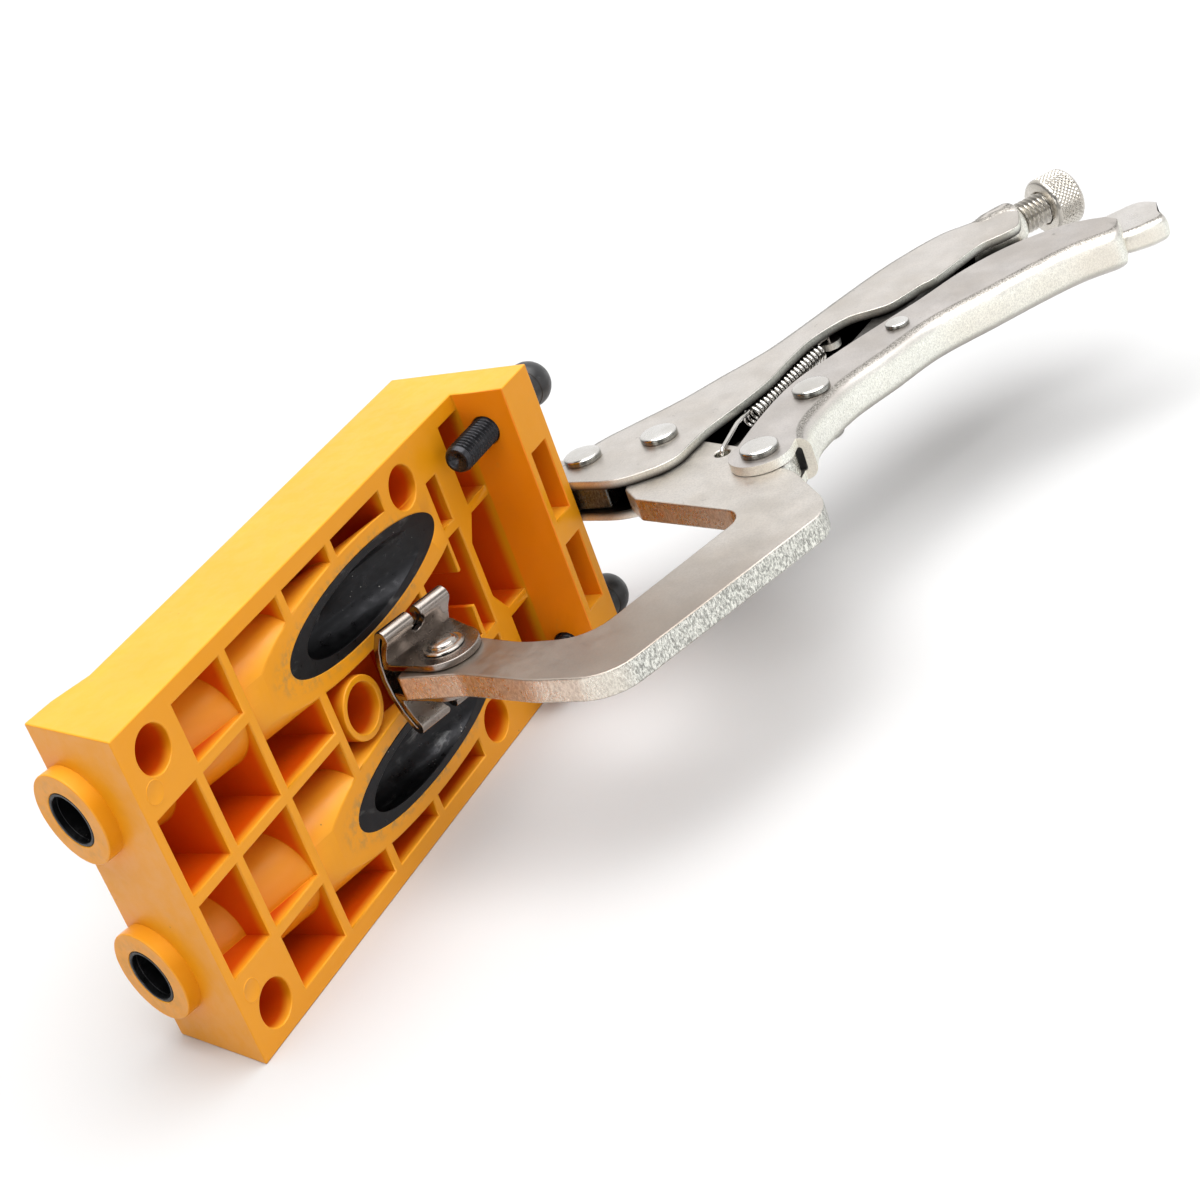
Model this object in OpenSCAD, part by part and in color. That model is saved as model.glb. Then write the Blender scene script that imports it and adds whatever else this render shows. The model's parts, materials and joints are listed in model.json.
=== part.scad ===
// Pocket hole jig with a locking C-clamp.
// Origin: centre of the four corner holes, on the working face.
// +X runs from the drill entries to the stop lip, +Y from the working face into the
// housing, +Z across the housing's width.

/* [Housing] */
// Length of the housing, from the drill-entry end to the outer face of the lip
jig_len = 129.5; // [124:0.5:133]
// Width of the housing
jig_w = 68; // [66:0.5:80]
// Depth of the housing from the working face to its back
jig_depth = 20.3; // [19:0.1:22]
// Thickness of the stop lip along the housing
lip_len = 10.5; // [9:0.5:11]
// Height of the stop lip over the working face
lip_rise = 12.3; // [11:0.1:12.4]
// Thickness of the outer walls
wall = 3.6; // [3:0.1:4.5]
// Thickness of the ribs
rib = 2.2; // [1.6:0.1:2.6]
// Thickness of the skin that closes the pockets at the back
skin = 2.6; // [1.8:0.1:3.5]

/* [Drill guides] */
// Angle between a drill and the working face
drill_angle = 15.26; // [14.5:0.02:16]
// Distance of a drill axis from the housing's side
drill_edge = 17; // [16.6:0.1:17.8]
// Place where a drill axis leaves the working face, from the entry end
drill_exit = 72.7; // [70:0.1:75]
// Radius of the drill bore
drill_r = 4.75; // [4:0.05:4.9]
// Radius of the wider relief bore at the exit
relief_r = 5.55; // [5.1:0.05:6]
// Outer radius of a guide bush
bush_r = 7.1; // [6.6:0.05:7.6]
// Outer radius of the bush's nose at the entry
nose_r = 5.5; // [5.3:0.05:6.4]
// Radius of the moulded tube round a bush
tube_r = 10; // [9.8:0.1:10.6]
// How far a tube's boss stands out of the entry end
boss_out = 3; // [2:0.1:5]
// Radius of a boss
boss_r = 9.3; // [8.8:0.1:9.8]

/* [Corner holes] */
// Spacing of the corner holes along the housing
hole_span_x = 86.3; // [84:0.1:88]
// Distance of a corner hole's axis from the housing's side
hole_edge = 7.05; // [6.6:0.05:8]
// Radius of a corner hole
hole_r = 4.4; // [3:0.1:4.5]
// Depth of a corner hole
hole_depth = 10; // [4:0.5:10]
// Distance of the first pair of holes from the entry end
hole_first = 8.17; // [7:0.01:9]

/* [Stop screws] */
// Radius of a stop screw
stop_r = 3; // [2.5:0.05:3.5]
// Distance of a stop screw's axis from the housing's side
stop_edge = 8.65; // [7.5:0.05:9.5]
// Height of the stop screws over the working face
stop_rise = 5.05; // [5.05:0.05:6]
// How far a stop screw stands out of the lip's inner face
stop_reach = 12.4; // [4:0.1:15]
// Radius of a stop screw's cap
cap_r = 4.8; // [4:0.1:5.6]

/* [Clamp] */
// Size that the outlines of the jaws and handles follow
clamp_size = 100; // [99.5:0.5:110]
// Clearance between the lip and the fixed handle
lip_clear = 0.8; // [0.6:0.1:3]
// Distance of the clamp's mid-plane from the housing's mid-plane
clamp_shift = 2; // [0:0.1:3]
// Thickness of the handles' sheet
sheet = 2; // [1.5:0.1:2.1]
// Thickness of the jaw plates
plate = 5; // [4:0.1:6]
// Width of the fixed jaw's bow
bow_w = 14; // [11:0.5:14]
// Width of a jaw's arm where it carries its pad
arm_w = 13; // [12:0.1:13.4]
// Distance from the back pad's rivet to the inner edge of the fixed jaw's bow
throat = 26; // [22:0.5:32]
// Radius of the pivot rivets' shanks
rivet_r = 2.5; // [2:0.05:3]
// Radius of the pivot rivets' heads
rivet_head_r = 4; // [3.4:0.1:4.2]
// Height of a pivot rivet's head
rivet_head_h = 1.2; // [0.8:0.05:1.6]
// Radius of the small rivets' shanks
pin_r = 1.5; // [1:0.05:1.8]
// Radius of the small rivets' heads
pin_head_r = 2.6; // [2.2:0.05:3]
// Height of a small rivet's head
pin_head_h = 0.9; // [0.6:0.05:1.2]

/* [Swivel pads] */
// Thickness of the pads' sheet
pad_sheet = 1.4; // [1:0.05:1.5]
// Length of a pad's base
pad_len = 16.8; // [15:0.1:18]
// Width of a pad
pad_w = 22.6; // [20:0.1:24]
// Distance from a pad's rivet to its gripping face
pad_drop = 11.1; // [11:0.05:13]
// Radius that a pad's base is bent to across its width
pad_bend_r = 16.7; // [15:0.1:24]
// Radius of a pad's ears
ear_r = 7; // [6:0.1:7.5]
// Tilt of the front pad as it hangs
pad_tilt = 17.3; // [15:0.1:19]
// Gap between the hanging front pad and the working face
pad_gap = 1.2; // [1.2:0.05:1.5]

/* [Adjusting screw and spring] */
// Radius of the adjusting screw
screw_r = 3.8; // [3.4:0.05:4]
// Radius of the adjusting screw's nut
nut_r = 4.3; // [4.2:0.05:4.5]
// Length of the nut
nut_len = 13; // [8:0.5:14]
// Radius of the knob
knob_r = 6.6; // [6:0.1:8]
// Length of the knob
knob_len = 7.6; // [6:0.1:10]
// Radius of the spring's wire
wire_r = 0.46; // [0.4:0.01:0.48]
// Mean radius of the spring's curls
curl_r = 1.95; // [1.7:0.05:2.05]
// Number of the spring's curls
curls = 20; // [10:1:20]

/* [Hidden] */
$fn = 48;

// Overrun of every cut
over = 1;
// Clearance of a turning or sliding fit, on the radius
run_fit = 0.05;
// Clearance between flat faces that pass each other
side_gap = 0.1;
// Clearance between separate plates, links and levers
part_gap = 0.5;

half_w = jig_w / 2;
lane = half_w - drill_edge;
hole_span_z = jig_w - 2 * hole_edge;
stop_pitch = jig_w - 2 * stop_edge;
lip_in = jig_len - lip_len;
origin_x = hole_first + hole_span_x / 2;

// Side view of the housing. The entry end leans square to the drills, and the back
// steps down behind the entry bosses.
entry_extra = 3.7;
entry_slope_x = 6.7;
entry_slope_y = 0.9;
back_step = 14.5;
entry_depth = jig_depth + entry_extra;
entry_x = entry_depth * tan(drill_angle);
jig_side = [
    [0, 0],
    [entry_x, entry_depth],
    [entry_x + entry_slope_x, entry_depth - entry_slope_y],
    [entry_x + back_step, jig_depth],
    [jig_len, jig_depth],
    [jig_len, -lip_rise],
    [lip_in, -lip_rise],
    [lip_in, 0]
];

// Drill guides: way of the drill from the boss face to the working face, end of the
// moulded tubes, and the steps of a bush along its axis.
drill_way = drill_exit * cos(drill_angle) + boss_out;
tube_end = 101.3;
nose_len = 12;
nose_sink = 1.2;
guide_len = 42;
exit_way = (tube_r + over) / tan(drill_angle);

// Places of the ribs across the housing, from the entry end
end_rim = 2.06;
cross_x = [15, 31.8, 50.8, 68.2, 88.2, 107.3];
rib_spread = 0.6;
lane_rib = lane + rib_spread;
pocket_y = jig_depth - skin;
post_x = 59.5;
post_r = 6.25;
post_bore_r = 4.9;
post_bore_len = 14;
side_in = half_w - wall;
entry_pad = 5.85;
entry_pad_z = hole_span_z / 2 - hole_r - entry_pad;
hole_pad_x = 87;
slot_rib = 1;
slot_half = 3.9;
mid_half = 11.1;
far_slot_x = [101.6, 105.5];
slot_in = 2.3;
slot_side = 6.8;
far_slot_z = [mid_half + slot_in, side_in - slot_side];
far_pad_x = 111.7;
gusset_x = 3.4;
gusset_z = 6.5;
lip_pocket_x = 1.9;
lip_pocket_end = 2.5;
lip_pocket_in = 2.8;
lip_pocket_side = 4.05;
lip_pocket_z = [lip_pocket_in, stop_pitch / 2 - stop_r - lip_pocket_side];

// Stop screws
stop_tip_len = 0.8;
stop_cup_r = 1.9;
stop_cap_gap = 3;
cap_skirt = 1.4;
cap_skirt_len = 5.8;
cap_grip = 1.2;
stop_len = stop_reach + lip_len + stop_cap_gap + cap_skirt_len + cap_grip;

// Clamp channels
inner_half = plate / 2 + side_gap;
outer_half = inner_half + sheet;

// Height of the front pad's rivet over the working face: the tilted pad hangs just
// clear of it.
grip_rise = pad_drop * cos(pad_tilt) + pad_len / 2 * sin(pad_tilt) + pad_gap;
back_y = jig_depth + pad_drop;

// Front end of the fixed handle, which stands clear of the lip, and pivots, as shares of
// the clamp's size from the front pad's rivet
front_share = 0.6;
grip_x = jig_len + lip_clear - clamp_size * front_share;
front_rivet_share = [0.694, 0.037];
jaw_pivot_share = [0.76, -0.114];
handle_pivot_share = [0.656, -0.388];
toggle_pivot_share = [0.905, -0.404];
lever_pivot_share = [1.176, -0.498];
toggle_tip_share = [1.604, -0.45];
knob_point_share = [1.831, -0.612];
spring_hole_share = [0.704, -0.276];
spring_start_share = [0.897, -0.251];
spring_end_share = [1.181, -0.29];
spring_tab_share = [1.227, -0.302];

front_rivet = clamp_size * front_rivet_share;
jaw_pivot = clamp_size * jaw_pivot_share;
handle_pivot = clamp_size * handle_pivot_share;
toggle_pivot = clamp_size * toggle_pivot_share;
lever_pivot = clamp_size * lever_pivot_share;
toggle_tip = clamp_size * toggle_tip_share;
knob_point = clamp_size * knob_point_share;

// Edges of the fixed handle: the open side towards the moving handle, and the web
fixed_edge_shares = [
    [0.6, 0.065], [0.593, -0.002], [0.587, -0.057], [0.593, -0.1], [0.611, -0.137],
    [0.636, -0.172], [0.671, -0.201], [0.734, -0.22], [0.891, -0.268], [1.054, -0.295],
    [1.154, -0.303], [1.209, -0.329], [1.254, -0.359], [1.272, -0.399], [1.297, -0.44],
    [1.372, -0.481], [1.41, -0.508], [1.538, -0.553], [1.57, -0.573], [1.599, -0.603],
    [1.64, -0.624], [1.723, -0.599]
];
fixed_web_shares = [
    [0.66, 0.1], [0.777, 0.048], [0.851, -0.008], [0.937, -0.077], [1.034, -0.136],
    [1.103, -0.18], [1.183, -0.219], [1.444, -0.313], [1.562, -0.367], [1.655, -0.426],
    [1.693, -0.476], [1.708, -0.498], [1.727, -0.536], [1.748, -0.583]
];

// Edges of the moving handle: the open side, and the web
moving_edge_shares = [
    [0.682, -0.323], [0.775, -0.316], [0.887, -0.327], [0.975, -0.35], [1.085, -0.399],
    [1.192, -0.452], [1.297, -0.507], [1.414, -0.56], [1.506, -0.623], [1.571, -0.695],
    [1.606, -0.765], [1.612, -0.83]
];
moving_web_shares = [
    [0.7, -0.468], [0.76, -0.453], [0.847, -0.461], [0.935, -0.479], [1.047, -0.527],
    [1.175, -0.58], [1.3, -0.672], [1.394, -0.742], [1.473, -0.812], [1.53, -0.9]
];

// Corners of the moving jaw, each with its radius
moving_jaw_shares = [
    [-0.084, 0.067, 0.01], [0.046, 0.067, 0.04], [0.047, -0.057, 0], [0.023, -0.157, 0.2],
    [0.03, -0.291, 0.09], [0.449, -0.438, 0.05], [0.537, -0.152, 0.02], [0.583, -0.107, 0.01],
    [0.699, -0.071, 0], [0.76, -0.114, 0], [0.772, -0.196, 0.02], [0.727, -0.307, 0],
    [0.656, -0.388, 0], [0.597, -0.482, 0], [0.431, -0.623, 0.055], [-0.109, -0.401, 0.1],
    [-0.109, -0.237, 0.2], [-0.078, -0.072, 0.1]
];
jaw_hub_share = 0.075;
jaw_hub_r = clamp_size * jaw_hub_share;
handle_hub_share = 0.065;
handle_hub_r = clamp_size * handle_hub_share;
ear_hub_share = 0.072;
ear_hub_r = clamp_size * ear_hub_share;

// Edges of the release lever and of its wider tail: the open side, and the web
lever_edge_shares = [[1.12, -0.463], [1.177, -0.462], [1.607, -0.777], [1.677, -0.845]];
lever_web_shares = [[1.12, -0.52], [1.197, -0.535], [1.537, -0.832], [1.584, -0.94]];
tail_edge_shares = [[1.641, -0.828], [1.677, -0.845], [1.704, -0.905], [1.687, -0.938]];
tail_web_shares = [[1.549, -0.91], [1.584, -0.94], [1.628, -0.977]];
lever_sheet = 1.2;
lever_half = inner_half - side_gap;
tail_flare = 1;

// Toggle link
toggle_side_gap = 0.3;
toggle_half = inner_half - toggle_side_gap;
toggle_eye_r = 3.9;
toggle_tip_r = 3.2;

// Adjusting screw: distances along its axis from the toggle's tip
toggle_gap = 1;
screw_tip = toggle_tip_r + toggle_gap;
nut_start = 5;
sleeve_len = 15;
sleeve_t = 0.6;
knob_back = 0.2;
knob_start = norm(knob_point - toggle_tip) - knob_back;
tip_len = 2.5;
tip_r_share = 0.72;
knob_edge = 0.8;
knob_bore_r = screw_r + run_fit;

// Tab that holds the spring in the fixed handle
tab_half = 0.75;
tab_r = 2.6;
tab_rise = 5.6;
hook_gap = 0.3;
hook_hole_r = wire_r + hook_gap;
spring_sides = 6;
spring_rings = 8;

fold_gap = 0.6;
fold_r = pad_sheet + fold_gap / 2;
relief_hole_r = 1.65;
relief_slot = 1.9;
ear_foot = 8.4;

// Corners of the fixed jaw: its top in the handle, how far its bow falls from the arm
// to the lip, and the radii of its corners
jaw_top = -5.2;
bow_gap = 1.1;
bow_x = jig_len + bow_gap - grip_x;
bow_drop = 3.5;
bow_in_r = 15;
bow_out_r = 26;
arm_in_r = 9;
arm_tip = 6.7;
tip_r = 3;
head_gap = run_fit;
lead_share = 0.45;
lead_end_share = 0.78;

arc_steps = 6;

// Unit vector, and an outline whose corners [x, y, radius] are rounded
function unit(v) = v / norm(v);
function flat(v) = [v.x, v.y];
function corner(a, b, c) =
    b.z == 0 ? [flat(b)] :
    let (
        u = unit(flat(a - b)),
        v = unit(flat(c - b)),
        half = acos(u * v) / 2,
        from = flat(b) + u * b.z / tan(half),
        to = flat(b) + v * b.z / tan(half),
        mid = flat(b) + unit(u + v) * b.z / sin(half),
        start = atan2(from.y - mid.y, from.x - mid.x),
        end = atan2(to.y - mid.y, to.x - mid.x),
        turn = (end - start + 540) % 360 - 180
    )
    [for (i = [0:arc_steps]) mid + b.z * [cos(start + turn * i / arc_steps), sin(start + turn * i / arc_steps)]];
function rounded(rows) = [
    for (i = [0:len(rows) - 1])
        each corner(rows[(i + len(rows) - 1) % len(rows)], rows[i], rows[(i + 1) % len(rows)])
];
function reversed(rows) = [for (i = [len(rows) - 1:-1:0]) rows[i]];

// Path moved sideways by d, to the left of its run, and lengthened at both ends
function heading(p, i) = unit(p[min(i + 1, len(p) - 1)] - p[max(i - 1, 0)]);
function shifted(p, d) = [for (i = [0:len(p) - 1]) p[i] + d * [-heading(p, i).y, heading(p, i).x]];
function stretched(p) = concat(
    [p[0] - over * heading(p, 0)], p, [p[len(p) - 1] + over * heading(p, len(p) - 1)]
);

// Places the clamp's parts from the front pad's rivet
module at_clamp() {
    translate([grip_x - origin_x, -grip_rise, clamp_shift]) children();
}

module along_housing() {
    translate([-origin_x, 0, 0]) children();
}

module slab(half) {
    linear_extrude(2 * half, center = true) children();
}

// Axis of a drill, with local z running back to the entry from the working face
module on_drill(side) {
    translate([drill_exit, 0, side * lane]) rotate([0, 0, 180 - drill_angle]) rotate([0, 90, 0]) children();
}

module over_face() {
    translate([-jig_len, -jig_len, -jig_w]) cube([3 * jig_len, jig_len, 2 * jig_w]);
}

// Box between two places along the housing and two across it, on both sides or one
module pocket(x0, x1, z0, z1, from_y = -over) {
    for (side = [-1, 1]) {
        translate([x0, from_y, side > 0 ? z0 : -z1]) cube([x1 - x0, pocket_y - from_y, z1 - z0]);
    }
}

module drill_tubes() {
    difference() {
        for (side = [-1, 1]) {
            on_drill(side) {
                translate([0, 0, -exit_way]) cylinder(r = tube_r, h = exit_way + drill_way - boss_out - end_rim / 2);
                cylinder(r = boss_r, h = drill_way);
            }
        }
        over_face();
        translate([tube_end, -over, -jig_w]) cube([jig_len, jig_depth + tube_r, 2 * jig_w]);
    }
}

module housing_pockets() {
    rib_h = rib / 2;
    for (side = [-1, 1]) {
        translate([0, 0, side * (rib_h + entry_pad_z) / 2]) slab((entry_pad_z - rib_h) / 2) polygon([
            [end_rim - over * tan(drill_angle), -over], [end_rim + pocket_y * tan(drill_angle), pocket_y],
            [cross_x[0] - rib_h, pocket_y], [cross_x[0] - rib_h, -over]
        ]);
    }
    pocket(cross_x[0] + rib_h, cross_x[1] - rib_h, rib_h, lane_rib - rib_h);
    pocket(cross_x[0] + rib_h, cross_x[1] - rib_h, lane_rib + rib_h, side_in);
    pocket(cross_x[1] + rib_h, cross_x[2] - rib_h, rib_h, lane);
    pocket(cross_x[1] + rib_h, cross_x[2] - rib_h, lane, side_in);
    pocket(cross_x[2] + rib_h, cross_x[3] - rib_h, lane, side_in);
    pocket(cross_x[3] + rib_h, hole_pad_x, lane, side_in);
    pocket(cross_x[2] + rib_h, cross_x[4] - rib_h, 0, lane);
    pocket(cross_x[4] + rib_h, tube_end - slot_rib / 2, 0, lane);
    pocket(tube_end - slot_rib, tube_end + slot_rib, 0, slot_half);
    pocket(tube_end + slot_rib / 2, cross_x[5] - rib_h, 0, mid_half);
    pocket(far_slot_x[0], far_slot_x[1], far_slot_z[0], far_slot_z[1]);
    pocket(cross_x[5] + rib_h, lip_in, 0, mid_half);
    pocket(far_pad_x, lip_in, mid_half + rib, side_in);
    pocket(lip_in + lip_pocket_x, jig_len - lip_pocket_end, lip_pocket_z[0], lip_pocket_z[1], -lip_rise - over);
}

module jig_body() {
    color("orange") along_housing() {
        difference() {
            union() {
                difference() {
                    slab(half_w) polygon(jig_side);
                    housing_pockets();
                }
                drill_tubes();
                translate([post_x, 0, 0]) rotate([-90, 0, 0]) cylinder(r = post_r, h = jig_depth - skin / 2);
                for (side = [-1, 1]) {
                    translate([0, 0, side * lane_rib])
                        translate([cross_x[0], 0, -rib / 2])
                        cube([cross_x[1] - cross_x[0], jig_depth - skin / 2, rib]);
                    translate([0, 0, side * mid_half]) mirror([0, 0, side > 0 ? 1 : 0])
                        translate([cross_x[5], 0, 0])
                        rotate([-90, 0, 0])
                        linear_extrude(jig_depth - skin / 2)
                        polygon([[0, 0], [rib / 2 + gusset_x, 0], [0, -gusset_z]]);
                }
            }
            for (side = [-1, 1]) {
                on_drill(side) {
                    translate([0, 0, -exit_way]) cylinder(r = bush_r, h = exit_way + drill_way - nose_len);
                    translate([0, 0, -exit_way]) cylinder(r = nose_r, h = exit_way + drill_way + over);
                }
                for (x = [hole_first, hole_first + hole_span_x]) {
                    translate([x, -over, side * hole_span_z / 2]) rotate([-90, 0, 0])
                        cylinder(r = hole_r, h = hole_depth + over);
                }
                translate([lip_in - over, -stop_rise, side * stop_pitch / 2]) rotate([0, 90, 0])
                    cylinder(r = stop_r + run_fit, h = lip_len + 2 * over);
            }
            translate([post_x, -over, 0]) rotate([-90, 0, 0]) cylinder(r = post_bore_r, h = post_bore_len + over);
        }
    }
}

module bush(side) {
    color("#2b2b2d") along_housing() difference() {
        on_drill(side) {
            translate([0, 0, -exit_way]) cylinder(r = bush_r, h = exit_way + drill_way - nose_len);
            cylinder(r = nose_r, h = drill_way - nose_sink);
        }
        on_drill(side) {
            translate([0, 0, -exit_way]) cylinder(r = drill_r, h = exit_way + drill_way + over);
            translate([0, 0, -exit_way]) cylinder(r = relief_r, h = exit_way + drill_way - guide_len);
        }
        over_face();
    }
}

module bush_left() {
    bush(1);
}

module bush_right() {
    bush(-1);
}

// Local z runs along a stop screw from its cupped tip
module on_stop(side) {
    along_housing() translate([lip_in - stop_reach, -stop_rise, side * stop_pitch / 2]) rotate([0, 90, 0]) children();
}

module stop_screw(side) {
    color("#242426") on_stop(side) rotate_extrude() polygon([
        [0, stop_tip_len], [stop_cup_r, 0], [stop_r - stop_tip_len / 2, 0],
        [stop_r, stop_tip_len], [stop_r, stop_len], [0, stop_len]
    ]);
}

module stop_cap(side) {
    cap_base = stop_reach + lip_len + stop_cap_gap;
    cap_mid = cap_base + cap_skirt_len;
    color("#1d1d1f") on_stop(side) difference() {
        union() {
            translate([0, 0, cap_mid]) sphere(r = cap_r);
            translate([0, 0, cap_base]) cylinder(r = cap_r - cap_skirt / 2, h = cap_skirt_len);
        }
        translate([0, 0, cap_base - over]) cylinder(r = stop_r, h = stop_len - cap_base + over);
    }
}

module stop_screw_left() {
    stop_screw(1);
}

module stop_screw_right() {
    stop_screw(-1);
}

module stop_cap_left() {
    stop_cap(1);
}

module stop_cap_right() {
    stop_cap(-1);
}

module hole(at, r) {
    translate(concat(at, -plate - sheet)) cylinder(r = r, h = 2 * (plate + sheet));
}

module eye(at, r, half) {
    translate(concat(at, -half)) cylinder(r = r, h = 2 * half);
}

// Axis of the adjusting screw, with local z running from the toggle's tip to the knob
module on_screw() {
    run = knob_point - toggle_tip;
    translate(toggle_tip) rotate([0, 0, atan2(run.y, run.x)]) rotate([0, 90, 0]) children();
}

// Channel folded from sheet: an open edge and a web edge, each a path
module channel(edge, web, half, t, inward) {
    difference() {
        slab(half) polygon(concat(edge, reversed(web)));
        slab(half - t) polygon(concat(shifted(stretched(edge), inward * over), reversed(shifted(stretched(web), inward * t))));
    }
}

module fixed_handle() {
    edge = clamp_size * fixed_edge_shares;
    web = clamp_size * fixed_web_shares;
    tab = clamp_size * spring_tab_share;
    color("#b9b6b0") at_clamp() difference() {
        union() {
            channel(edge, web, outer_half, sheet, -1);
            on_screw() translate([0, 0, nut_start]) cylinder(r = nut_r + sleeve_t, h = sleeve_len);
            slab(tab_half) polygon([
                tab + [-tab_r, 0], tab + [-tab_r, tab_rise], tab + [tab_r, tab_rise], tab + [tab_r, 0]
            ]);
            eye(tab, tab_r, tab_half);
        }
        on_screw() {
            translate([0, 0, -toggle_eye_r]) cylinder(r = nut_r, h = 3 * sleeve_len);
        }
        hole(front_rivet, rivet_r + run_fit);
        hole(jaw_pivot, rivet_r + run_fit);
        hole(tab, hook_hole_r);
        translate([bow_x - part_gap, jaw_top - part_gap, -inner_half])
            cube([bow_w + 2 * part_gap, back_y, 2 * inner_half]);
    }
}

module fixed_jaw() {
    x_out = bow_x + bow_w;
    y_0 = grip_rise + back_y;
    y_in = y_0 + throat;
    arm = arm_w / 2;
    color("#bdbab4") at_clamp() difference() {
        union() {
            slab(plate / 2) polygon(rounded([
                [bow_x, jaw_top, 0],
                [bow_x, y_in + bow_drop, bow_in_r],
                [arm, y_in - bow_drop, arm_in_r],
                [arm, y_0 - arm_tip, tip_r],
                [-arm, y_0 - arm_tip, tip_r],
                [-arm, y_in + bow_w - 2 * bow_drop, bow_in_r],
                [x_out, y_in + bow_w + bow_drop, bow_out_r],
                [x_out, jaw_top, 0]
            ]));
            eye([0, y_0], arm_w / 2, plate / 2);
        }
        hole(front_rivet, rivet_r);
        hole(jaw_pivot, jaw_hub_r + part_gap);
        hole([0, y_0], pin_r + run_fit);
    }
}

module moving_jaw() {
    color("#bdbab4") at_clamp() difference() {
        union() {
            slab(plate / 2) polygon(rounded(clamp_size * moving_jaw_shares));
            eye(jaw_pivot, jaw_hub_r, plate / 2);
            eye(handle_pivot, handle_hub_r, plate / 2);
        }
        hole([0, 0], pin_r + run_fit);
        hole(jaw_pivot, rivet_r + run_fit);
        hole(handle_pivot, rivet_r + run_fit);
        hole(clamp_size * spring_hole_share, hook_hole_r);
    }
}

module moving_handle() {
    color("#bfbcb6") at_clamp() difference() {
        union() {
            channel(clamp_size * moving_edge_shares, clamp_size * moving_web_shares, outer_half, sheet, 1);
            difference() {
                eye(handle_pivot, ear_hub_r, outer_half);
                eye(handle_pivot, ear_hub_r + over, inner_half);
            }
        }
        hole(handle_pivot, rivet_r + run_fit);
        hole(toggle_pivot, rivet_r + run_fit);
        hole(lever_pivot, pin_r + run_fit);
    }
}

module toggle_link() {
    run = unit(toggle_tip - toggle_pivot);
    out = [-run.y, run.x];
    color("#8d8a84") at_clamp() difference() {
        union() {
            slab(toggle_half) polygon([
                toggle_pivot + toggle_eye_r * out, toggle_tip + toggle_tip_r * out,
                toggle_tip - toggle_tip_r * out, toggle_pivot - toggle_eye_r * out
            ]);
            eye(toggle_pivot, toggle_eye_r, toggle_half);
            eye(toggle_tip, toggle_tip_r, toggle_half);
        }
        hole(toggle_pivot, rivet_r + run_fit);
    }
}

module release_lever() {
    color("#c9c6c0") at_clamp() difference() {
        union() {
            channel(clamp_size * lever_edge_shares, clamp_size * lever_web_shares, lever_half, lever_sheet, 1);
            channel(
                clamp_size * tail_edge_shares, clamp_size * tail_web_shares, lever_half + tail_flare, lever_sheet, 1
            );
        }
        hole(lever_pivot, pin_r + run_fit);
    }
}

// Rivet with two domed heads round a shank through the given half thickness
module rivet(r, head_r, head_h, half) {
    rim = head_h / 3;
    dome = head_h - rim;
    dome_r = (head_r * head_r + dome * dome) / (2 * dome);
    spread = asin(head_r / dome_r);
    head = [for (i = [0:arc_steps]) let (a = spread * (1 - i / arc_steps))
        [dome_r * sin(a), half + head_h - dome_r * (1 - cos(a))]];
    rotate_extrude() polygon(concat(
        [[0, -half - head_h]],
        [for (p = reversed(head)) [p.x, -p.y]],
        [[head_r, -half], [r, -half], [r, half], [head_r, half]],
        head
    ));
}

module rivet_at(at, half) {
    color("#dcdad6") at_clamp() translate(concat(at, 0)) rivet(rivet_r, rivet_head_r, rivet_head_h, half);
}

module pin_at(at, half) {
    color("#dcdad6") at_clamp() translate(concat(at, 0)) rivet(pin_r, pin_head_r, pin_head_h, half);
}

module fixed_jaw_rivet() {
    rivet_at(front_rivet, outer_half + head_gap);
}

module jaw_pivot_rivet() {
    rivet_at(jaw_pivot, outer_half + head_gap);
}

module handle_rivet() {
    rivet_at(handle_pivot, outer_half + head_gap);
}

module toggle_rivet() {
    rivet_at(toggle_pivot, outer_half + head_gap);
}

module release_rivet() {
    pin_at(lever_pivot, outer_half + head_gap);
}

module front_pad_rivet() {
    pin_at([0, 0], inner_half + pad_sheet + head_gap);
}

module back_pad_rivet() {
    pin_at([0, grip_rise + back_y], inner_half + pad_sheet + head_gap);
}

module adjusting_screw() {
    color("#9b9892") at_clamp() on_screw() rotate_extrude() polygon([
        [0, screw_tip], [screw_r * tip_r_share, screw_tip], [screw_r * tip_r_share, screw_tip + tip_len],
        [screw_r, screw_tip + 2 * tip_len], [screw_r, knob_start + knob_len / 2], [0, knob_start + knob_len / 2]
    ]);
}

module knurled_knob() {
    color("#a9a69f") at_clamp() on_screw() translate([0, 0, knob_start]) rotate_extrude() polygon([
        [knob_bore_r, 0], [knob_r - knob_edge, 0], [knob_r, knob_edge],
        [knob_r, knob_len - knob_edge], [knob_r - knob_edge, knob_len], [0, knob_len],
        [0, knob_len / 2 + run_fit], [knob_bore_r, knob_len / 2 + run_fit]
    ]);
}

module screw_nut() {
    color("#a5a29c") at_clamp() on_screw() difference() {
        translate([0, 0, nut_start]) cylinder(r = nut_r, h = nut_len);
        translate([0, 0, nut_start - over]) cylinder(r = screw_r + run_fit, h = nut_len + 2 * over);
    }
}

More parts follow.
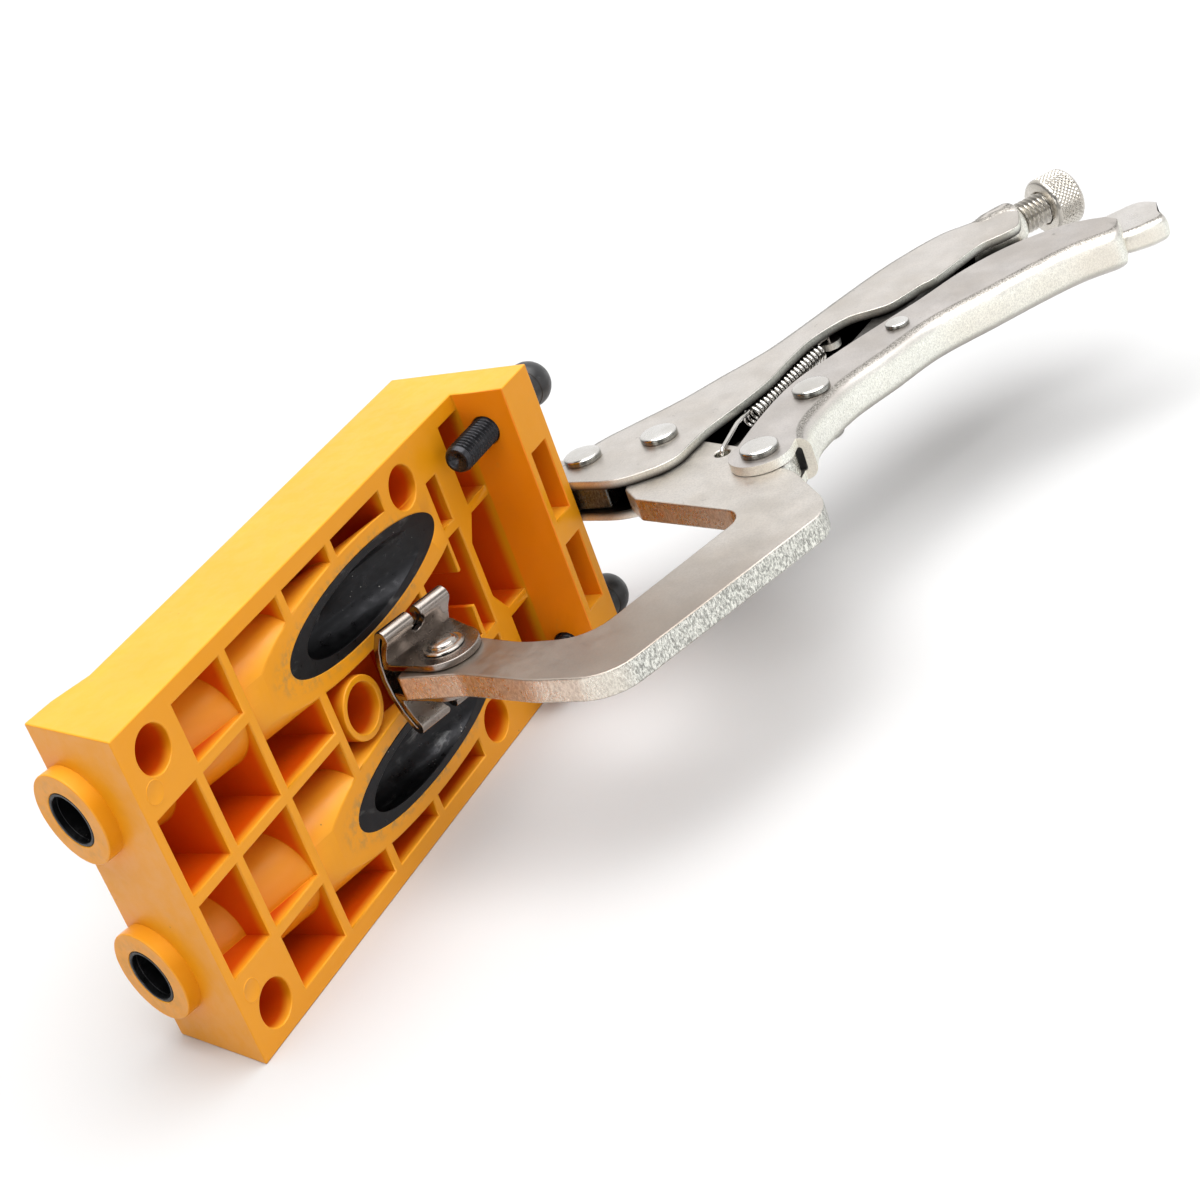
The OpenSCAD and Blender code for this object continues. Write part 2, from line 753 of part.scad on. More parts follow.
// Extension spring: one tube that runs from its hook in the moving jaw through the
// curls to the tab in the fixed handle.
function on_spring(along, out, lift) =
    let (
        a = clamp_size * spring_start_share,
        b = clamp_size * spring_end_share,
        run = unit(b - a)
    )
    concat(a + along * norm(b - a) * run + out * [-run.y, run.x], lift);
spring_hook = clamp_size * spring_hole_share;
spring_start = clamp_size * spring_start_share;
spring_tab = clamp_size * spring_tab_share;
hook_lift = plate / 2 + wire_r + side_gap;
hook_in = plate / 2 - 2 * wire_r;
spring_rows = concat(
    [
        concat(spring_hook, hook_in),
        concat(spring_hook, hook_in + 2 * wire_r),
        concat(spring_hook + wire_r * [1, 0], hook_lift),
        concat(spring_hook + lead_share * (spring_start - spring_hook), hook_lift),
        concat(spring_hook + lead_end_share * (spring_start - spring_hook), curl_r)
    ],
    [
        for (i = [0:curls * spring_rings])
            let (turn = 360 * i / spring_rings)
            on_spring(i / (curls * spring_rings), curl_r * sin(turn), curl_r * cos(turn))
    ],
    [
        concat(spring_tab - [wire_r, wire_r], curl_r - wire_r / 2),
        concat(spring_tab, tab_half + 2 * wire_r),
        concat(spring_tab, 0)
    ]
);

function way(p, i) = unit(p[min(i + 1, len(p) - 1)] - p[max(i - 1, 0)]);
function across_way(n, t) = unit(n - (n * t) * t);
function side_rows(p) = [
    for (i = 0, n = across_way([0, 1, 0], way(p, 0));
        i < len(p);
        i = i + 1, n = across_way(n, way(p, min(i, len(p) - 1)))) n
];

module tube(p, r, sides) {
    n = side_rows(p);
    points = [
        for (i = [0:len(p) - 1]) let (t = way(p, i), m = cross(t, n[i]))
            for (k = [0:sides - 1]) p[i] + r * (cos(360 * k / sides) * n[i] + sin(360 * k / sides) * m)
    ];
    last = len(points) - sides;
    walls = [
        for (i = [0:len(p) - 2]) for (k = [0:sides - 1])
            let (a = i * sides + k, b = i * sides + (k + 1) % sides)
            each [[a, b, a + sides], [b, b + sides, a + sides]]
    ];
    caps = [for (k = [1:sides - 2]) each [[0, k + 1, k], [last, last + k, last + k + 1]]];
    polyhedron(points = points, faces = concat(walls, caps));
}

spring_gap = min([
    for (i = [0:len(spring_rows) - 1]) for (j = [i + spring_rings - 2:1:len(spring_rows) - 1])
        norm(spring_rows[i] - spring_rows[j])
]) - 2 * wire_r;
echo(least_gap_between_spring_curls = spring_gap);

module spring() {
    color("#6f6d69") at_clamp() tube(spring_rows, wire_r, spring_sides);
}

// Cross-section of a pad over its width: the bowed base, folded back at both ends into
// flanges that turn up into the ears. The second coordinate runs from the rivet to the
// gripping face.
pad_bend = asin((pad_w / 2 - fold_r) / (pad_bend_r - fold_r));
bow_mid = [0, pad_drop - pad_bend_r];
function turned(mid, r, a0, a1) = [
    for (i = [0:arc_steps]) let (a = a0 + (a1 - a0) * i / arc_steps) mid + r * [sin(a), cos(a)]
];
function mirrored(rows) = [for (p = reversed(rows)) [-p.x, p.y]];
module pad_section() {
    fold_mid = bow_mid + (pad_bend_r - fold_r) * [sin(pad_bend), cos(pad_bend)];
    under = pad_bend_r - 2 * fold_r;
    top = under + pad_sheet;
    flange = concat(
        turned(fold_mid, fold_r, pad_bend, pad_bend + 180),
        turned(bow_mid, under, pad_bend, asin(inner_half / under)),
        turned(bow_mid, top, asin(inner_half / top), pad_bend),
        turned(fold_mid, fold_gap / 2, pad_bend + 180, pad_bend)
    );
    polygon(concat(
        turned(bow_mid, pad_bend_r, -pad_bend, pad_bend),
        flange,
        turned(bow_mid, pad_bend_r - pad_sheet, pad_bend, -pad_bend),
        mirrored(flange)
    ));
}

module pad() {
    foot_y = pad_drop - 2 * pad_sheet - fold_gap;
    difference() {
        union() {
            rotate([0, 90, 0]) linear_extrude(pad_len, center = true) pad_section();
            for (side = [-1, 1]) {
                translate([0, 0, side * (inner_half + pad_sheet / 2)]) slab(pad_sheet / 2) {
                    circle(r = ear_r);
                    polygon([
                        [-ear_r, 0], [ear_r, 0], [ear_foot, foot_y - pad_sheet],
                        [ear_foot, foot_y], [-ear_foot, foot_y], [-ear_foot, foot_y - pad_sheet]
                    ]);
                }
            }
        }
        hole([0, 0], pin_r + run_fit);
        for (side = [-1, 1]) {
            slot_z = side * (pad_w / 2 - relief_hole_r - pad_sheet);
            translate([0, 0, slot_z]) rotate([-90, 0, 0]) cylinder(r = relief_hole_r, h = 2 * pad_drop);
            translate([-relief_slot / 2, 0, side > 0 ? slot_z : slot_z - pad_w]) cube([relief_slot, 2 * pad_drop, pad_w]);
        }
    }
}

module front_pad() {
    color("#c4c1bb") at_clamp() rotate([0, 0, -pad_tilt]) pad();
}

module back_pad() {
    color("#c4c1bb") at_clamp() translate([0, grip_rise + back_y, 0]) rotate([0, 0, 180]) pad();
}

jig_body();
bush_left();
bush_right();
stop_screw_left();
stop_screw_right();
stop_cap_left();
stop_cap_right();
fixed_handle();
fixed_jaw();
fixed_jaw_rivet();
jaw_pivot_rivet();
moving_jaw();
moving_handle();
handle_rivet();
toggle_link();
toggle_rivet();
release_lever();
release_rivet();
adjusting_screw();
knurled_knob();
screw_nut();
spring();
front_pad();
front_pad_rivet();
back_pad();
back_pad_rivet();
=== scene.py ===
"""Looks of the pocket hole jig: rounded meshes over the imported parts, and their materials."""
import json
import math
from collections import namedtuple

import bmesh
import bpy
from mathutils import Matrix, Vector


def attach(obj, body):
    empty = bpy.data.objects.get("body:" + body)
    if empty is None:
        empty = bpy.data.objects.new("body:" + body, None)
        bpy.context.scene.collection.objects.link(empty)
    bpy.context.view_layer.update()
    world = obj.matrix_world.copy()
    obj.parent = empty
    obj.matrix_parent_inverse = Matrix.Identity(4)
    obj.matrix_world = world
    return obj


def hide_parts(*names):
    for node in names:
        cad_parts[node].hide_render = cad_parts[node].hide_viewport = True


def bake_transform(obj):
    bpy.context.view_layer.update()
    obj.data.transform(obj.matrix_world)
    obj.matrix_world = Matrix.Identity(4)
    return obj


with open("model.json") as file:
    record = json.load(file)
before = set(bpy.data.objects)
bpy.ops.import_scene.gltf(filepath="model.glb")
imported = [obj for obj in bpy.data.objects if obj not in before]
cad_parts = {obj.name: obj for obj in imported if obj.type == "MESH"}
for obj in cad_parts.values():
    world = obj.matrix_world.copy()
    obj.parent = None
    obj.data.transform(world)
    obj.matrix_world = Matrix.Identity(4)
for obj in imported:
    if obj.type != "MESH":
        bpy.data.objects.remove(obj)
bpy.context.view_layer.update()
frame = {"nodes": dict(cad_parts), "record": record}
BODY_OF = {node: body for body, nodes in frame["record"]["behaviour"]["bodies"].items() for node in nodes}
SLOT_OF = {part["node"]: part["material_slot"] for part in frame["record"]["subparts"]}
SCENE = bpy.context.scene
MM = 0.001

# Places on the clamp, in millimetres from the front pad's rivet, which is at CLAMP_AT in the row frame
CLAMP_AT = Vector((18.98, -14.296, 2.0))
TOGGLE_TIP = Vector((160.4, -45.0, 0))
KNOB_POINT = Vector((183.1, -61.2, 0))
HANDLE_PIVOT = Vector((65.6, -38.8))
SPRING_HOLE = Vector((70.4, -27.6))
COIL_START = Vector((89.3, -25.4))
COIL_END = Vector((117.7, -29.7))
SPRING_TAB = Vector((122.7, -30.6))
PADS_APART = 45.696

# Sizes of the clamp, in millimetres
HANDLE_HALF = 4.6
HANDLE_SHEET = 2.0
PLATE_HALF = 2.5
WIRE_R = 0.46
COIL_R = 1.95

# The housing, in millimetres in the row frame
JIG_START = -51.32
JIG_LENGTH = 119
FLOOR_Z = -34
DRILL_ANGLE = math.radians(15.26)
DRILL_EXIT = Vector((21.38, 0.0, 17.0)) * MM
DRILL_WAY = Vector((-math.cos(DRILL_ANGLE), math.sin(DRILL_ANGLE), 0.0))


def at_clamp(x, y, z=0.0):
    """A point given from the front pad's rivet, in the row frame, in metres."""
    return (CLAMP_AT + Vector((x, y, z))) * MM


# Materials
YELLOW_DEEP = (0.91, 0.378, 0.017)
YELLOW_PALE = (0.94, 0.412, 0.024)
SHADED_SIDE_YELLOW = (0.735, 0.284, 0.0035)
POCKET_SHADE_ORANGE = (0.70, 0.088, 0.0006)
LIP_SHADE_ORANGE = (0.95, 0.21, 0.002)
SOOT = (0.20, 0.17, 0.08)
SMEAR = (0.50, 0.27, 0.05)
BROWN_SPECK = (0.16, 0.09, 0.03)
BUSH_BLACK = (0.020, 0.020, 0.022)
BUSH_SCUFF = (0.14, 0.14, 0.14)
PALE_DUST = (0.42, 0.41, 0.38)
DARK_MARK = (0.24, 0.22, 0.20)
PAD_END_BROWN = (0.30, 0.245, 0.20)
FLECK_TINT = (1.0, 1.0, 0.92)
SIDE_PAINTED_LIGHT = (0.80, 0.72, 0.62)
UNDER_SIDE_SHADE = (0.40, 0.40, 0.35)
FOLD_SHADE_DARK = (0.13, 0.12, 0.105)
FOLD_SHADE_PALE = (0.50, 0.47, 0.43)
CHANNEL_SHADE = (0.035, 0.031, 0.026)
WORN_BLACK = (0.16, 0.16, 0.16)

# Looks of a plate's sides: the flecks' scale, their stretch along Z, and their depth, contrast and tone
Sides = namedtuple("Sides", "scale stretch_z depth contrast tone")


def scaled(colour, share):
    return tuple(share * part for part in colour)


class Paint:
    """A node material, built with short calls. Its places are in metres in the row frame."""

    def __init__(self, name, **sockets):
        self.material = bpy.data.materials.new(name)
        self.material.use_nodes = True
        self.tree = self.material.node_tree
        self.shader = self.tree.nodes["Principled BSDF"]
        for key, value in sockets.items():
            self.shader.inputs[key.replace("_", " ")].default_value = value
        self.place = self.add("ShaderNodeTexCoord").outputs["Object"]

    def add(self, kind, **settings):
        made = self.tree.nodes.new(kind)
        for key, value in settings.items():
            setattr(made, key, value)
        return made

    def put(self, value, socket):
        if isinstance(value, bpy.types.NodeSocket):
            self.tree.links.new(value, socket)
        else:
            socket.default_value = value

    def to(self, key, value):
        self.put(value, self.shader.inputs[key])
        return self

    def noise(self, scale, detail=3.0, rough=0.55, place=None, distort=0.0):
        made = self.add("ShaderNodeTexNoise")
        self.put(self.place if place is None else place, made.inputs["Vector"])
        made.inputs["Scale"].default_value = scale
        made.inputs["Detail"].default_value = detail
        made.inputs["Roughness"].default_value = rough
        made.inputs["Distortion"].default_value = distort
        return made.outputs["Fac"]

    def cells(self, scale):
        made = self.add("ShaderNodeTexVoronoi")
        self.put(self.place, made.inputs["Vector"])
        made.inputs["Scale"].default_value = scale
        return made.outputs["Distance"]

    def stretch(self, x, y, z):
        made = self.add("ShaderNodeVectorMath", operation="MULTIPLY")
        self.put(self.place, made.inputs[0])
        made.inputs[1].default_value = (x, y, z)
        return made.outputs[0]

    def calc(self, operation, a, b=0.0):
        made = self.add("ShaderNodeMath", operation=operation)
        self.put(a, made.inputs[0])
        self.put(b, made.inputs[1])
        return made.outputs[0]

    def product(self, first, *others):
        for other in others:
            first = self.calc("MULTIPLY", first, other)
        return first

    def span(self, value, low, high, to_low=0.0, to_high=1.0):
        """Smooth step from to_low, where the value is low, to to_high, where it is high."""
        made = self.add("ShaderNodeMapRange", interpolation_type="SMOOTHSTEP")
        self.put(value, made.inputs["Value"])
        made.inputs["From Min"].default_value = low
        made.inputs["From Max"].default_value = high
        made.inputs["To Min"].default_value = to_low
        made.inputs["To Max"].default_value = to_high
        return made.outputs["Result"]

    def mix(self, share, a, b):
        made = self.add("ShaderNodeMix", data_type="RGBA")
        self.put(share, made.inputs[0])
        for value, socket in ((a, made.inputs[6]), (b, made.inputs[7])):
            self.put(value if isinstance(value, bpy.types.NodeSocket) else (*value, 1.0), socket)
        return made.outputs[2]

    def mix_normals(self, share, a, b):
        made = self.add("ShaderNodeMix", data_type="VECTOR")
        self.put(share, made.inputs[0])
        self.put(a, made.inputs[4])
        self.put(b, made.inputs[5])
        return made.outputs[1]

    def parts(self, vector):
        made = self.add("ShaderNodeSeparateXYZ")
        self.put(vector, made.inputs[0])
        return made.outputs

    def normal(self):
        return self.parts(self.add("ShaderNodeNewGeometry").outputs["Normal"])

    def bump(self, height, depth, strength, under=None):
        made = self.add("ShaderNodeBump")
        made.inputs["Strength"].default_value = strength
        made.inputs["Distance"].default_value = depth
        self.put(height, made.inputs["Height"])
        if under is not None:
            self.put(under, made.inputs["Normal"])
        return made.outputs["Normal"]


def drill_distance(paint):
    """Distance of a shaded point from the nearer drill axis."""
    x, y, z = paint.parts(paint.place)
    both = paint.add("ShaderNodeCombineXYZ")
    for value, socket in zip((x, y, paint.calc("ABSOLUTE", z)), both.inputs):
        paint.put(value, socket)
    away = paint.add("ShaderNodeVectorMath", operation="SUBTRACT")
    paint.put(both.outputs[0], away.inputs[0])
    away.inputs[1].default_value = DRILL_EXIT
    across_axis = paint.add("ShaderNodeVectorMath", operation="CROSS_PRODUCT")
    paint.put(away.outputs[0], across_axis.inputs[0])
    across_axis.inputs[1].default_value = DRILL_WAY
    length = paint.add("ShaderNodeVectorMath", operation="LENGTH")
    paint.put(across_axis.outputs[0], length.inputs[0])
    return length.outputs["Value"]


def pocket_shade_share(paint, x, y, z, from_axis):
    """How deep a point lies in the pockets, which sets their painted shade: between the face and the back
    wall, inside the side walls and the slanted entry wall, and less on the bushes' tubes."""
    tube_r = 10 * MM
    entry_slope = -0.2728
    off_tube = paint.calc("ABSOLUTE", paint.calc("SUBTRACT", from_axis, tube_r))
    from_entry = paint.calc("ADD", x, paint.calc("MULTIPLY", y, entry_slope))
    return paint.product(
        paint.span(y, 0.2 * MM, 2.8 * MM),
        paint.span(paint.calc("ABSOLUTE", z), 33.2 * MM, 33.8 * MM, 1, 0),
        paint.span(off_tube, 0.1 * MM, 0.3 * MM, 0.25, 1),
        paint.span(from_entry, -50.2 * MM, -49.6 * MM),
        paint.span(y, 18.4 * MM, 18.8 * MM, 1, 0),
    )


def add_dirt(paint, base, x, from_axis):
    """Soot that drilling left round the bushes, smears, and a few specks."""
    near_bush = paint.product(
        paint.span(from_axis, 7.3 * MM, 9.2 * MM, 1, 0),
        paint.span(x, 36 * MM, 40 * MM, 1, 0),
        paint.span(x, -48 * MM, -44 * MM, 0.35, 1),
    )
    soot = paint.product(near_bush, paint.span(paint.noise(420, 5, 0.65), 0.42, 0.66), 0.55)
    base = paint.mix(soot, base, SOOT)
    broad = paint.span(paint.noise(170, 6, 0.7), 0.60, 0.72)
    smear = paint.product(broad, paint.span(paint.noise(900, 3, 0.6), 0.45, 0.7), 0.45)
    base = paint.mix(smear, base, SMEAR)
    specks = paint.span(paint.cells(260), 0.035, 0.06, 1, 0)
    rare = paint.span(paint.noise(70, 2), 0.56, 0.62)
    return paint.mix(paint.product(specks, rare, 0.6), base, BROWN_SPECK)


def moulded_plastic():
    """Yellow plastic, with painted shade that makes it deeper on the sides, in the pockets and on the lip's
    inner face.
    """
    paint = Paint("moulded_plastic", IOR=1.41)
    x, y, z = paint.parts(paint.place)
    turn_x, _, turn_z = paint.normal()
    from_axis = drill_distance(paint)
    clouds = paint.span(paint.noise(45, 4, 0.6), 0.35, 0.65)
    base = paint.mix(clouds, YELLOW_DEEP, YELLOW_PALE)
    # Painted shade: faces that don't face up get a deeper orange.
    base = paint.mix(paint.span(turn_z, 0.3, 0.8, 1, 0), base, SHADED_SIDE_YELLOW)
    # Painted shade: the pockets get a darker red orange, less on the bushes' tubes.
    base = paint.mix(pocket_shade_share(paint, x, y, z, from_axis), base, POCKET_SHADE_ORANGE)
    # Painted shade: the lip's inner face, which faces -X, gets a deeper orange.
    lip = paint.product(
        paint.span(y, -0.7 * MM, -0.2 * MM, 1, 0),
        paint.span(x, 57 * MM, 57.6 * MM),
        paint.span(turn_x, -0.8, -0.3, 1, 0),
        0.6,
    )
    base = paint.mix(lip, base, LIP_SHADE_ORANGE)
    paint.to("Base Color", add_dirt(paint, base, x, from_axis))
    paint.to("Roughness", paint.span(paint.noise(300, 4, 0.6), 0.3, 0.7, 0.30, 0.46))
    finest = paint.calc("MULTIPLY", paint.noise(5200, 2, 0.5), 0.5)
    fine = paint.bump(paint.calc("ADD", finest, paint.noise(900, 3, 0.6)), 0.02 * MM, 0.5)
    return paint.to("Normal", paint.bump(paint.noise(60, 2), 0.4 * MM, 0.12, fine)).material


def black_steel():
    """Blackened bush steel with drill streaks and a little dust."""
    paint = Paint("black_steel", Metallic=0.85, IOR=1.6)
    streaks = paint.noise(260, 6, 0.7, paint.stretch(0.35, 1.0, 1.0), 0.8)
    scuffs = paint.product(paint.span(streaks, 0.52, 0.70), paint.span(paint.noise(120, 3), 0.45, 0.65))
    base = paint.mix(scuffs, BUSH_BLACK, BUSH_SCUFF)
    dust = paint.span(paint.cells(700), 0.05, 0.10, 1, 0)
    base = paint.mix(paint.product(dust, paint.span(paint.noise(160, 2), 0.52, 0.62)), base, PALE_DUST)
    paint.to("Base Color", base)
    paint.to("Roughness", paint.span(paint.noise(500, 5, 0.6), 0.3, 0.7, 0.26, 0.5))
    pits = paint.noise(1600, 4, 0.6, paint.stretch(0.4, 1, 1))
    return paint.to("Normal", paint.bump(pits, 0.04 * MM, 0.5)).material


def plated(paint, tint, fine, wear, brown_run):
    """Cloudy colour of a plated face. A browner, darker tone fades out from the brown run's first X to its
    second.
    """
    deep = (0.86 * tint[0], 0.84 * tint[1], 0.81 * tint[2])
    base = paint.mix(paint.span(paint.noise(70, 5, 0.6), 0.3, 0.7), deep, scaled(tint, 1.06))
    base = paint.mix(paint.span(fine, 0.35, 0.7, 0.0, 0.28 * wear), base, scaled(tint, 0.62))
    long_marks = paint.span(paint.noise(330, 4, 0.7), 0.62, 0.72)
    marks = paint.product(long_marks, paint.span(paint.noise(90, 2), 0.5, 0.62), 0.55 * wear)
    base = paint.mix(marks, base, DARK_MARK)
    # Browner and darker towards low X, with a blotchy edge.
    if brown_run:
        x = paint.parts(paint.place)[0]
        blotch = paint.calc("ADD", x, paint.calc("MULTIPLY", paint.noise(110, 4, 0.6), 10 * MM))
        base = paint.mix(paint.span(blotch, *brown_run, 0.8, 0), base, PAD_END_BROWN)
    return base


def flecked(paint, tears, sides, turn_x, turn_z):
    """Colour of the torn or rolled sides of a plate, with painted warm light on the sides that face -X and
    painted shade on the sides that face down.
    """
    dark, light = (scaled(FLECK_TINT, sides.tone + k * sides.contrast) for k in (-0.5, 0.5))
    flecks = paint.mix(paint.span(tears, 0.38, 0.62), dark, light)
    if sides.tone > 0.3:
        # Painted warm light on the sides that face -X.
        flecks = paint.mix(paint.span(turn_x, -0.85, -0.35, 0.6, 0), flecks, SIDE_PAINTED_LIGHT)
    # Painted shade on the sides that face down.
    return paint.mix(paint.span(turn_z, -0.65, -0.20, 0.6, 0), flecks, UNDER_SIDE_SHADE)


def nickel(name, tint, rough, sides=None, wear=1.0, brown_run=None, fold=False):
    """Plated steel with satin faces. Its sides are the faces square to the plate, and a fold has a speckled
    shoulder of painted shade beside them. The inside attribute paints shade on the inside of a channel."""
    paint = Paint(name, Metallic=1.0)
    fine = paint.noise(2600, 3, 0.6)
    base = plated(paint, tint, fine, wear, brown_run)
    grain = paint.bump(fine, 0.02 * MM, 0.35 * wear)
    flat = paint.bump(paint.noise(420, 4, 0.6), 0.05 * MM, 0.4 * wear, grain)
    roughness = paint.span(paint.noise(160, 5, 0.65), 0.3, 0.7, rough - 0.06, rough + 0.10)
    if not sides:
        paint.to("Base Color", base).to("Roughness", roughness)
        return paint.to("Normal", flat).material
    turn_x, _, turn_z = paint.normal()
    side = paint.span(paint.calc("ABSOLUTE", turn_z), 0.30, 0.90, 1, 0)
    tears = paint.noise(sides.scale, 5, 0.75, paint.stretch(1, 1, sides.stretch_z), 0.5)
    torn = paint.bump(tears, sides.depth, 0.9, grain)
    paint.to("Normal", paint.mix_normals(side, flat, torn))
    base = paint.mix(side, base, flecked(paint, tears, sides, turn_x, turn_z))
    if fold:
        # Painted shade: a speckled dark band on the shoulder where a fold's bend starts.
        not_flat = paint.span(turn_z, 0.985, 0.9998, 1, 0)
        shoulder = paint.product(paint.span(turn_z, 0.78, 0.91), not_flat, 0.92)
        base = paint.mix(shoulder, base, paint.mix(paint.span(tears, 0.40, 0.62), FOLD_SHADE_DARK, FOLD_SHADE_PALE))
    # Painted shade on the inside of a channel, from the inside attribute.
    inside = paint.add("ShaderNodeAttribute", attribute_name="inside").outputs["Fac"]
    paint.to("Base Color", paint.mix(paint.span(inside, 0.2, 1.0), base, CHANNEL_SHADE))
    side_roughness = paint.calc("MULTIPLY", side, 0.12 if fold else -0.10)
    return paint.to("Roughness", paint.calc("ADD", roughness, side_roughness)).material


def blacked(name, base, rough, metallic):
    """Black steel or black plastic with a little wear."""
    paint = Paint(name, Metallic=metallic)
    tone = paint.span(paint.noise(240, 5, 0.65), 0.35, 0.75)
    worn = paint.product(paint.span(paint.noise(700, 4, 0.7), 0.6, 0.75), 0.5)
    paint.to("Base Color", paint.mix(worn, paint.mix(tone, base, scaled(base, 1.8)), WORN_BLACK))
    paint.to("Roughness", paint.span(paint.noise(900, 4, 0.6), 0.3, 0.7, rough - 0.05, rough + 0.12))
    return paint.to("Normal", paint.bump(paint.noise(1800, 3, 0.6), 0.03 * MM, 0.4)).material


ROLLED = Sides(scale=3400, stretch_z=0.8, depth=0.08 * MM, contrast=0.30, tone=0.84)
SHEARED = Sides(scale=2300, stretch_z=0.5, depth=0.15 * MM, contrast=0.62, tone=0.60)
# Sides of the fixed jaw, darkened with painted shade as they lie in the fixed handle's channel.
SHADED_SIDES = Sides(scale=2300, stretch_z=0.5, depth=0.10 * MM, contrast=0.10, tone=0.12)
RIVET_WALL = Sides(scale=2600, stretch_z=0.6, depth=0.02 * MM, contrast=0.16, tone=0.29)
GRIP_SIDES = ROLLED._replace(contrast=0.34, tone=0.88)
LEVER_SIDES = ROLLED._replace(depth=0.06 * MM, contrast=0.24)
# X range over which the jaw plate turns from browner and darker to its plain tone.
BROWN_RUN_X = (30 * MM, 70 * MM)

PLASTIC = moulded_plastic()
BUSH = black_steel()
SHEET = nickel("handle_sheet", (0.69, 0.65, 0.61), 0.34, ROLLED, fold=True)
GRIP_SHEET = nickel("grip_sheet", (0.60, 0.565, 0.54), 0.36, GRIP_SIDES, fold=True)
LEVER_SHEET = nickel("lever_sheet", (0.76, 0.73, 0.70), 0.30, LEVER_SIDES, fold=True)
PLATE = nickel("jaw_plate", (0.69, 0.65, 0.605), 0.36, SHEARED, wear=1.35, brown_run=BROWN_RUN_X)
# Darker copy of the jaw plate: painted shade for the fixed jaw inside the fixed handle's channel.
SHADED_PLATE = nickel("jaw_plate_shaded", (0.66, 0.62, 0.58), 0.38, SHADED_SIDES)
PAD = nickel("pad_sheet", (0.31, 0.275, 0.25), 0.22)
BRIGHT = nickel("rivets", (0.77, 0.755, 0.73), 0.19, RIVET_WALL, wear=0.4)
PIN = nickel("pins", (0.46, 0.42, 0.38), 0.22, wear=0.5)
KNOB = nickel("knob", (0.66, 0.63, 0.58), 0.26)
WIRE = nickel("spring_wire", (0.70, 0.68, 0.65), 0.16, wear=0.3)
LINK = blacked("link_steel", (0.055, 0.052, 0.048), 0.38, 0.9)
SCREW = blacked("stop_screws", (0.028, 0.028, 0.031), 0.26, 0.8)
CAP = blacked("stop_caps", (0.018, 0.018, 0.019), 0.34, 0.0)

# Meshes
SHARP_ANGLE = math.radians(40)
CRISP_ANGLE = math.radians(32)
FLAT_ANGLE = math.radians(0.4)
LIP_ANGLE = math.radians(50)
SLIVER = 1e-6


def piece(name, mesh, body, material, *nodes, sharpen=True, slot=None):
    """Links a mesh as a piece of the object that stands for the given CAD nodes. It rides on the
    body, where one is given, and its edges are sharp past SHARP_ANGLE unless told otherwise."""
    made = bpy.data.objects.new(name, mesh)
    SCENE.collection.objects.link(made)
    mesh.materials.clear()
    mesh.materials.append(material)
    mesh.shade_smooth()
    if sharpen:
        mesh.set_sharp_from_angle(angle=SHARP_ANGLE)
    if body:
        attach(made, body)
    if nodes:
        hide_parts(*nodes)
    return made


def rounded(node, material, width, segments=3, join_flat=True, reshape=None):
    """Copy of a CAD node with its crisp outer edges rounded."""
    grid = bmesh.new()
    grid.from_mesh(frame["nodes"][node].data)
    bmesh.ops.remove_doubles(grid, verts=grid.verts, dist=2e-7)
    bmesh.ops.dissolve_degenerate(grid, dist=SLIVER, edges=grid.edges)
    if join_flat:
        bmesh.ops.dissolve_limit(grid, angle_limit=FLAT_ANGLE, verts=grid.verts, edges=grid.edges)
    if reshape:
        reshape(grid)
    weight = grid.edges.layers.float.new("bevel_weight_edge")
    for edge in grid.edges:
        bend = edge.calc_face_angle_signed(0.0)
        edge[weight] = 1.0 if bend > CRISP_ANGLE else 0.0
        edge.smooth = abs(bend) < CRISP_ANGLE
    mesh = bpy.data.meshes.new(f"{node}_form")
    grid.to_mesh(mesh)
    grid.free()
    made = piece(mesh.name, mesh, BODY_OF[node], material, node, sharpen=False)
    bevel = made.modifiers.new("edge", "BEVEL")
    bevel.width = width
    bevel.segments = segments
    bevel.limit_method = "WEIGHT"
    bevel.use_clamp_overlap = False
    bevel.loop_slide = False
    bevel.harden_normals = True
    bevel.miter_outer = "MITER_ARC"
    flow = made.modifiers.new("flow", "WEIGHTED_NORMAL")
    flow.keep_sharp = True
    return made


def clean_up(mesh, gap, sliver=None):
    """Joins points closer than the gap, takes slivers out and turns every face outwards."""
    grid = bmesh.new()
    grid.from_mesh(mesh)
    bmesh.ops.remove_doubles(grid, verts=grid.verts, dist=gap)
    if sliver:
        bmesh.ops.dissolve_degenerate(grid, dist=sliver, edges=grid.edges)
    bmesh.ops.recalc_face_normals(grid, faces=grid.faces)
    grid.to_mesh(mesh)
    grid.free()


def ring_faces(rings, sides):
    """Faces between rings of points, each with as many sides."""
    faces = []
    for i in range(rings - 1):
        for k in range(sides):
            j = (k + 1) % sides
            faces.append((i * sides + k, i * sides + j, (i + 1) * sides + j, (i + 1) * sides + k))
    return faces


def turned(name, rows, body, material, *nodes, place=Matrix.Identity(4), sides=72, relief=None, slot=None):
    """Revolves rows of (radius, height) in mm about local z, which place puts in the row frame.
    The relief gives the depth of a thread or knurl at an angle and a height."""
    verts = []
    for radius, height in rows:
        for k in range(sides):
            angle = math.tau * k / sides
            r = radius - relief(angle, height) if relief else radius
            verts.append(place @ (Vector((r * math.cos(angle), r * math.sin(angle), height)) * MM))
    mesh = bpy.data.meshes.new(name)
    mesh.from_pydata(verts, [], ring_faces(len(rows), sides))
    clean_up(mesh, 1e-8)
    return piece(name, mesh, body, material, *nodes, slot=slot)


def frame_on(origin, way):
    """Matrix that puts local z along way, at origin in metres."""
    z = Vector(way).normalized()
    x = Vector((0, 0, 1)).cross(z)
    x = x.normalized() if x.length > 1e-6 else Vector((1, 0, 0))
    y = z.cross(x)
    return Matrix.Translation(origin) @ Matrix((x, y, z)).transposed().to_4x4()


